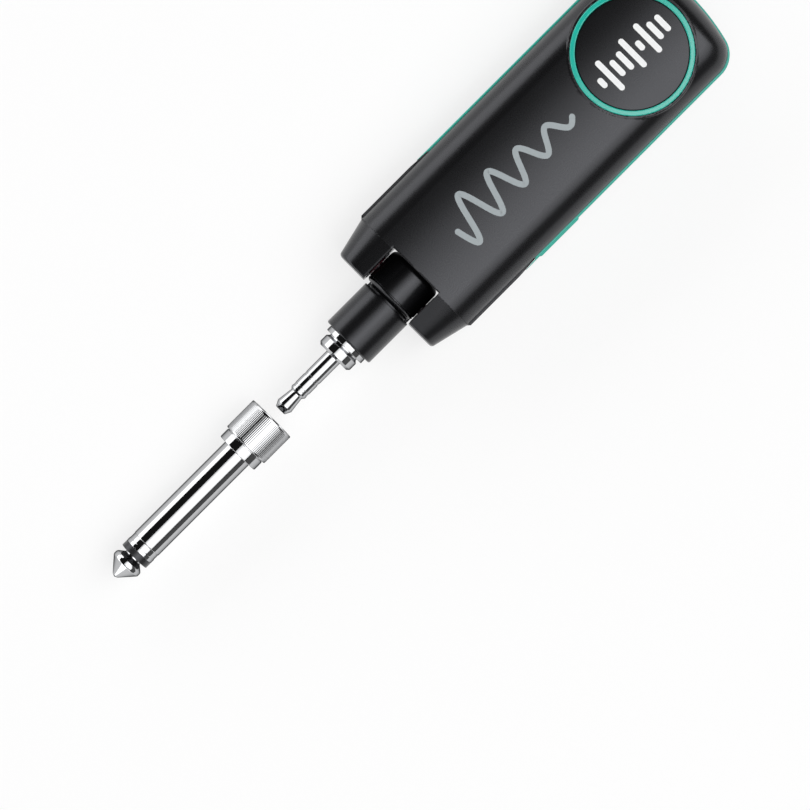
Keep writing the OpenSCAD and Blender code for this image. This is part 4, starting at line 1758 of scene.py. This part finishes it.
@dataclass(frozen=True)
class FoldingPlug:
    """The folding plug: knuckle, sleeve and the 3.5 mm jack, with the hinge's pins and washers."""

    hinge: Point = (37.3, 0.1, 5.9)
    plug_y: float = 0.45
    slot_width: float = 12.1
    knuckle: float = 5.8
    knuckle_end: float = 3.2
    knuckle_chamfer: float = 0.55
    knuckle_groove: tuple[float, float, float] = (2.42, 0.24, 0.14)
    knuckle_tail: float = 4.6
    tail_edge: float = 1.2
    trough_length: float = 3.4
    trough_wall: float = 1.2
    trough_z: float = 1.9
    seam_end: float = 3.95
    seam_depth: float = 0.6
    neck_chamfer: float = 0.4
    sleeve: float = 5.6
    sleeve_end: float = 14.4
    sleeve_bore: float = 3.0
    pin_hole: float = 1.26
    pin_depth: float = 2.36
    washer: float = 2.2
    washer_height: float = 0.19
    # Radius of the dark half rims that stand in for the shade in the gaps beside the knuckle (painted
    # shade)
    shade_rim_radius: float = 3.2
    washer_edge: float = 0.08
    washer_segments: int = 64
    rim_edge: float = 0.05
    gap: float = 0.05
    edge: float = 0.35
    chamfer_edge: float = 0.2
    end_edge: float = 0.1
    groove_edge: float = 0.05
    neck_edge: float = 0.06
    opening_edge: float = 0.15
    overlap: float = 1.0
    beyond: float = 20.0
    # Grid lines along X, Y and Z: where they start, then the end and step of each stretch
    knuckle_grid: tuple[tuple, ...] = (
        (-5.1, (2.1, 0.2), (4.3, 0.06)), (-6.2, (6.6, 0.2)), (-6.2, (6.2, 0.2)))
    sleeve_grid: tuple[tuple, ...] = (
        (-4.4, (4.2, 0.2), (13.6, 0.8), (14.8, 0.1)), (-6.0, (6.0, 0.2)), (-6.0, (6.0, 0.2)))
    rim_margin: float = 0.2
    rim_side: float = 0.3
    rim_steps: tuple[float, float] = (0.15, 0.05)
    # Keeps the grid lines off the planes of the forms
    grid_shift: Point = (0.0031, 0.0047, 0.0017)
    jack: tuple[TurnedPiece, ...] = (
        TurnedPiece("base_ring", "plug_base_ring", "plug_chrome", Finishes.chrome, (
            (7.5, 2.05), (7.5, 2.95), (14.4, 2.95), (14.4, 4.55, 0.12), (15.5, 4.55, 0.12), (15.5, 2.05))),
        TurnedPiece("jack_sleeve", "jack_sleeve_contact", "plug_chrome", Finishes.chrome, (
            (5.95, 1.1), (5.95, 2.0), (15.5, 2.0), (15.5, 3.45), (15.75, 3.45), (16.25, 3.95, 0.1),
            (17.85, 3.95, 0.1), (18.35, 3.45, 0.1), (18.35, 1.75, 0.12), (23.85, 1.75, 0.1), (23.85, 1.1))),
        TurnedPiece("jack_insulator_rear", "jack_rear_insulator", "insulator_black",
                    Finishes.jack_insulator, (
            (5.55, 0.89), (5.55, 1.08), (23.85, 1.08), (23.85, 1.69), (24.4, 1.69), (24.4, 0.89))),
        TurnedPiece("jack_ring", "jack_ring_contact", "plug_chrome", Finishes.chrome, (
            (5.15, 0.68), (5.15, 0.87), (24.4, 0.87), (24.4, 1.75, 0.1), (26.7, 1.75, 0.1), (26.7, 0.68))),
        TurnedPiece("jack_insulator_front", "jack_front_insulator", "insulator_black",
                    Finishes.jack_insulator, (
            (4.75, 0.47), (4.75, 0.66), (26.7, 0.66), (26.7, 1.69), (27.25, 1.69), (27.25, 0.47))),
        TurnedPiece("jack_tip", "jack_tip_contact", "plug_chrome", Finishes.chrome, (
            (4.35, 0), (4.35, 0.45), (27.25, 0.45), (27.25, 1.75, 0.1), (27.8, 1.75, 0.12),
            (28.25, 1.35, 0.12), (31.45, 1.75, 0.25), (32.65, 1.15, 0.3), (32.65, 0)), ring=False))

    @property
    def origin(self) -> Point:
        """The hinge axis on the plug's own axis."""
        return (self.hinge[0], self.plug_y, self.hinge[2])

    def along(self, radius: float, low: float, high: float, rounding: float = 0.0) -> Form:
        """A bar on the plug's axis between two stations from the hinge."""
        return rod_form(0, self.origin, radius, self.hinge[0] + low, self.hinge[0] + high, rounding)

    @staticmethod
    def cone(at: Point, radius: float) -> Form:
        """A cone along X that has a radius at a point and grows by as much as it runs back.

        Args:
            at: The point, on its axis.
            radius: Its radius there.

        Returns:
            The cone as a form.
        """
        return Form(lambda x, y, z: (np.hypot(y - at[1], z - at[2]) - radius + x - at[0]) / math.sqrt(2))

    def build_knuckle(self) -> None:
        """Makes the knuckle."""
        x0, y0, z0 = self.hinge
        drum = rod_form(0, self.hinge, self.knuckle, x0 - self.knuckle_tail, x0 + 2 * self.knuckle,
                        self.tail_edge)
        groove_x, groove_width, groove_depth = self.knuckle_groove
        cone = self.cone((x0 + self.knuckle_end, y0, z0), self.knuckle - self.knuckle_chamfer)
        groove = Form(lambda x, y, z: np.maximum(
            np.abs(x - x0 - groove_x) - groove_width / 2,
            self.knuckle - groove_depth - np.hypot(y - y0, z - z0)))
        core = drum.meet(cone, self.chamfer_edge)
        core = core.meet(half_space(0, x0 + self.knuckle_end, 1), self.end_edge)
        core = core.cut(groove, self.groove_edge)
        neck = self.sleeve - self.seam_depth
        shoulder_x = self.seam_end - self.neck_chamfer + self.gap
        cone = self.cone((x0 + shoulder_x, self.plug_y, z0), neck - self.neck_chamfer)
        core = core.join(self.along(neck, 0, self.seam_end).meet(cone, self.neck_edge))
        core = core.join(self.along(neck - self.neck_chamfer, 0, self.seam_end))
        seat = half_space(0, x0 - self.trough_length - self.gap, -1)
        seat = seat.meet(half_space(2, z0 - self.trough_z + self.gap, 1))
        seat = seat.cut(self.along(self.sleeve - self.trough_wall - self.gap, -self.beyond, self.beyond))
        pins = rod_form(1, self.hinge, self.pin_hole, y0 + self.knuckle - self.pin_depth, y0 + self.beyond)
        core = core.cut(seat, self.end_edge).cut(pins.mirrored(y0), self.opening_edge)
        mesh = Contour.around(self.hinge, self.knuckle_grid, self.grid_shift).mesh(core)
        add_piece("knuckle", mesh, Finishes.plug, Body.PLUG, ["knuckle_core"])

    def build_sleeve(self) -> None:
        """Makes the sleeve with the trough that runs on under the knuckle."""
        x0, _, z0 = self.origin
        form = self.along(self.sleeve, -self.trough_length, self.sleeve_end, self.edge)
        open_top = half_space(0, x0 + self.seam_end, 1).meet(half_space(2, z0 - self.trough_z, -1))
        form = form.cut(open_top, self.opening_edge)
        form = form.cut(self.along(self.sleeve - self.trough_wall, -self.beyond, self.seam_end))
        bore = self.along(self.sleeve_bore, self.seam_end - self.overlap, self.beyond)
        form = form.cut(bore, self.end_edge)
        mesh = Contour.around(self.origin, self.sleeve_grid, self.grid_shift).mesh(form)
        add_piece("plug_sleeve", mesh, Finishes.plug, Body.PLUG, ["plug_housing"])

    def build_washers(self) -> None:
        """Makes the red washers and dresses the pins that they sit on."""
        reach = self.slot_width / 2
        low = reach - self.washer_height
        turned = Turned(self.hinge, 1, self.washer_segments)
        rings = []
        for start, end in ((low, reach), (-reach, -low)):
            corners = [(start, self.pin_hole), (start, self.washer, self.washer_edge),
                       (end, self.washer, self.washer_edge), (end, self.pin_hole)]
            rings.append(turned.mesh(corners, True))
        add_piece("hinge_washers", together(rings), Finishes.washer, Body.CASE,
                  ["friction_washers"])
        dress_node("hinge_pins", Finishes.pin)

    def build_shade_rims(self) -> None:
        """Makes black half rims under the washers that close the see-through gaps beside the knuckle:
        painted shade, dark pieces standing in for the shadow deep in those gaps.
        """
        _, y0, z0 = self.hinge
        reach = self.slot_width / 2
        low = reach - self.washer_height
        rim = rod_form(1, self.hinge, self.shade_rim_radius, y0 + low, y0 + reach, self.rim_edge)
        rim = rim.cut(rod_form(1, self.hinge, self.washer + self.gap, y0, y0 + 2 * reach))
        rim = rim.meet(half_space(2, z0, 1)).mirrored(y0)
        step, fine = self.rim_steps
        span = self.shade_rim_radius + self.rim_margin
        near, far = reach - self.rim_side, reach + self.rim_side
        stretches = ((-span, (span, step)), (-far, (-near, fine), (near, 2 * near), (far, fine)),
                     (-span, (self.rim_margin, step)))
        mesh = Contour.around(self.hinge, stretches, self.grid_shift).mesh(rim)
        # Painted shade: a dark piece that stands in for the shadow in the gaps beside the knuckle
        add_piece("hinge_gap_shade_rims", mesh, Finishes.case, Body.CASE)

    def build(self) -> None:
        """Makes the whole plug, with the contacts and insulators of its jack."""
        self.build_knuckle()
        self.build_sleeve()
        self.build_washers()
        self.build_shade_rims()
        for piece in self.jack:
            piece.build(self.origin, Body.PLUG)


@dataclass(frozen=True)
class Adapter:
    """The 6.35 mm adapter that slides on to the jack."""

    mouth: Point = (72.15, 0.45, 5.9)
    collar: float = 5.0
    collar_length: float = 7.15
    ridges: int = 90
    ridge_depth: float = 0.042
    ridge_steps: int = 6
    plain_end: float = 0.3
    run_out: float = 0.15
    mouth_bore: float = 4.01
    mouth_depth: float = 3.05
    spigot: float = 3.5
    gap: float = 0.05
    mouth_edge: float = 0.1
    collar_edge: float = 0.2
    turned: tuple[TurnedPiece, ...] = (
        TurnedPiece("barrel", "adapter_barrel", "adapter_chrome", Finishes.chrome, (
            (3.05, 1.81), (3.05, 3.5), (7.15, 3.5), (7.15, 4.4), (7.3, 4.4), (7.3, 4.55, 0.1),
            (9.35, 4.55, 0.15), (9.35, 3.175, 0.1), (33.7, 3.175, 0.3), (33.8, 3.1, 0.3), (34.95, 3.1, 0.3),
            (35.05, 3.175, 0.3), (35.85, 3.175, 0.1), (35.85, 1.35), (17.45, 1.35), (17.45, 1.81))),
        TurnedPiece("barrel_insulator", "adapter_insulator", "insulator_black", Finishes.insulator, (
            (19.1, 0.85), (19.1, 1.3), (35.85, 1.3), (35.85, 3.175, 0.1), (37.15, 3.175, 0.1),
            (37.15, 0.85))),
        TurnedPiece("barrel_tip", "adapter_tip", "adapter_chrome", Finishes.chrome, (
            (19.05, 0), (19.05, 0.8), (37.15, 0.8), (37.15, 1.85), (37.5, 1.85, 0.2), (38.45, 3.0, 0.2),
            (38.75, 3.15, 0.3), (39.45, 3.15, 0.5), (42.3, 0.62, 0.35), (42.55, 0)), ring=False))

    def build_collar(self) -> None:
        """Makes the knurled collar."""
        end, seat = self.collar_length, self.spigot + self.gap
        low, high = self.plain_end, end - self.plain_end
        corners = [(0, self.mouth_bore, self.mouth_edge), (0, self.collar, self.collar_edge)]
        corners += [(x, self.collar) for x in (low, low + self.run_out, high - self.run_out, high)]
        corners += [(end, self.collar, self.collar_edge), (end, seat), (self.mouth_depth, seat),
                    (self.mouth_depth, self.mouth_bore)]
        mesh = Turned(self.mouth, 0, self.ridges * self.ridge_steps).mesh(corners, True)
        x, y, z = (mesh.points - np.array(self.mouth)).T
        radius = np.hypot(y, z)
        ridged = (x > low + self.run_out / 2) & (x < high - self.run_out / 2)
        ridged &= radius > self.collar - self.ridge_depth
        groove = self.ridge_depth * (1 - np.cos(self.ridges * np.arctan2(z, y))) / 2
        shrink = np.where(ridged, 1 - groove / np.maximum(radius, TINY), 1)
        points = np.array(self.mouth) + np.stack([x, y * shrink, z * shrink], 1)
        add_piece("collar", MeshData(points, mesh.faces), Finishes.knurl, Body.ADAPTER,
                  ["adapter_collar"])

    def build(self) -> None:
        """Makes the whole adapter."""
        self.build_collar()
        for piece in self.turned:
            piece.build(self.mouth, Body.ADAPTER)
        dress_node("adapter_contact_cup", Finishes.gold)


@dataclass(frozen=True)
class Electronics:
    """The pieces inside the case, which keep the shape of their solids."""

    finishes: dict[str, Finish] = field(default_factory=lambda: {
        "circuit_board": Finishes.board, "battery": Finishes.foil, "radio_shield": Finishes.steel,
        "antenna": Finishes.ceramic, "button_switch": Finishes.switch, "board_screws": Finishes.steel,
        "signal_wires": Finishes.wire})

    def build(self) -> None:
        """Dresses the pieces."""
        for node, finish in self.finishes.items():
            dress_node(node, finish)


# Studio


@dataclass(frozen=True)
class Studio:
    """The camera of the photograph's view, a softbox with cards round it and a pale floor."""

    frame_width: float = 154.29
    sensor: float = 36.0
    camera_height: float = 805.9
    camera_x: float = 52.44
    camera_y: float = 16.56
    camera_turn: float = 135.0
    plug_height: float = 5.9
    lamp_distance: float = 3000.0
    # Angles along X between which the softbox reaches, and its share of the light there
    lamp_spans: tuple[Point, ...] = ((-56.0, 16.0, 1.0), (16.0, 56.0, 0.25))
    # Angles across, and how bright the softbox is there
    lamp_stops: tuple[tuple[float, float], ...] = (
        (-9.5, 1.0), (0.0, 1.7), (17.0, 3.7), (30.0, 2.6), (46.0, 1.8), (52.5, 1.5))
    lamp_strips: int = 10
    card_length: float = 9000.0
    card_angle: float = 32.5
    card_radiance: float = 2.4
    front_card_angle: float = 18.0
    front_card_width: float = 5000.0
    front_card_radiance: float = 2.4
    back_card_angle: float = 32.0
    back_card_radiance: float = 0.1
    floor_z: float = -0.3
    floor_radius: float = 6000.0
    floor_corners: int = 96
    floor_colour: Colour = (0.93, 0.93, 0.93)
    floor_mottle: float = 40.0
    floor_tones: tuple[float, float] = (0.995, 1.005)
    floor_roughness: float = 0.9
    floor_glow: float = 0.75
    world: float = 0.012

    def build_camera(self) -> None:
        """Makes the camera, which looks straight down."""
        data = bpy.data.cameras.new("camera")
        data.sensor_width = self.sensor
        data.lens = self.sensor * (self.camera_height - self.plug_height) / self.frame_width
        camera = bpy.data.objects.new("camera", data)
        camera.location = (self.camera_x * MM, self.camera_y * MM, self.camera_height * MM)
        camera.rotation_euler = (0, 0, math.radians(self.camera_turn))
        bpy.context.scene.collection.objects.link(camera)
        bpy.context.scene.camera = camera

    @staticmethod
    def add_lamp(name: str, at: Point, turn: Point, size: tuple[float, float], radiance: float) -> None:
        """Adds a soft rectangular lamp.

        Args:
            name: Its name.
            at: Its middle in millimetres.
            turn: Its turns about X, Y and Z in degrees, from facing down.
            size: Its two sides in millimetres.
            radiance: How bright its face is.
        """
        data = bpy.data.lights.new(name, "AREA")
        data.shape = "RECTANGLE"
        data.size, data.size_y = (s * MM for s in size)
        data.energy = radiance * math.pi * data.size * data.size_y
        lamp = bpy.data.objects.new(name, data)
        lamp.location = tuple(c * MM for c in at)
        lamp.rotation_euler = tuple(math.radians(t) for t in turn)
        lamp.visible_camera = False
        bpy.context.scene.collection.objects.link(lamp)

    def build_lamps(self) -> None:
        """Makes a softbox overhead, brightest on the button's side, and low cards round the object."""
        reach = self.lamp_distance
        middle_x = self.camera_x / 2
        places, levels = zip(*self.lamp_stops)
        edges = np.linspace(places[0], places[-1], self.lamp_strips + 1)
        for start, end, share in self.lamp_spans:
            near, far = (reach * math.tan(math.radians(side)) for side in (start, end))
            for low, high in zip(edges, edges[1:]):
                angle = math.radians((low + high) / 2)
                width = 2 * reach * math.tan(math.radians((high - low) / 2))
                level = share * float(np.interp((low + high) / 2, places, levels))
                at = ((near + far) / 2, reach * math.sin(angle), reach * math.cos(angle))
                self.add_lamp("softbox", at, (-math.degrees(angle), 0, 0), (far - near, width), level)
        for name, side, angle, level in (("side_card", -1, self.card_angle, self.card_radiance),
                                         ("back_card", 1, self.back_card_angle, self.back_card_radiance)):
            height = reach * math.tan(math.radians(angle))
            self.add_lamp(name, (middle_x, side * reach, height / 2), (-side * QUARTER_TURN, 0, 0),
                          (self.card_length, height), level)
        height = reach * math.tan(math.radians(self.front_card_angle))
        self.add_lamp("front_card", (middle_x + reach, 0, height / 2), (0, QUARTER_TURN, 0),
                      (height, self.front_card_width), self.front_card_radiance)

    def build_floor(self) -> None:
        """Makes the pale floor and the dim surroundings."""
        turns = 2 * math.pi * np.arange(self.floor_corners) / self.floor_corners
        level = np.full(self.floor_corners, self.floor_z)
        ring = np.stack([self.floor_radius * np.cos(turns), self.floor_radius * np.sin(turns), level], 1)
        mesh = MeshData(ring, [tuple(range(self.floor_corners))]).made()
        floor = bpy.data.objects.new("floor", mesh)
        bpy.context.scene.collection.objects.link(floor)
        shader = Shader("floor")
        mottle = shader.noise(self.floor_mottle)
        tint = shader.mix(mottle, *[scaled(self.floor_colour, tone) for tone in self.floor_tones])
        seen = shader.node("ShaderNodeLightPath", output="Is Camera Ray")
        for ray in ("Is Glossy Ray", "Is Transmission Ray"):
            seen = seen + shader.node("ShaderNodeLightPath", output=ray)
        mesh.materials.append(shader.finish(base_color=tint, roughness=self.floor_roughness,
                                             specular_ior_level=0.0))
        glow = shader.node("ShaderNodeEmission", None, {"Color": (1, 1, 1), "Strength": 1.0})
        lit = Value(shader, shader.surface.outputs[0])
        blend = shader.node("ShaderNodeMixShader", None, {0: seen * self.floor_glow, 1: lit, 2: glow})
        shader.feed(shader.tree.nodes["Material Output"].inputs["Surface"], blend)
        world = bpy.data.worlds.new("world")
        world.use_nodes = True
        world.node_tree.nodes["Background"].inputs["Color"].default_value = (self.world,) * 3 + (1,)
        bpy.context.scene.world = world

    def build(self) -> None:
        """Makes the whole studio."""
        bpy.context.scene.view_settings.view_transform = "Standard"
        self.build_camera()
        self.build_lamps()
        self.build_floor()


def main() -> None:
    """Builds the studio and the object."""
    logging.basicConfig(level=logging.INFO, format="%(message)s")
    Studio().build()
    Case(Badge(), ChargingPort(), SideButton()).build()
    FoldingPlug().build()
    Adapter().build()
    Electronics().build()


if __name__ == "__main__":
    main()
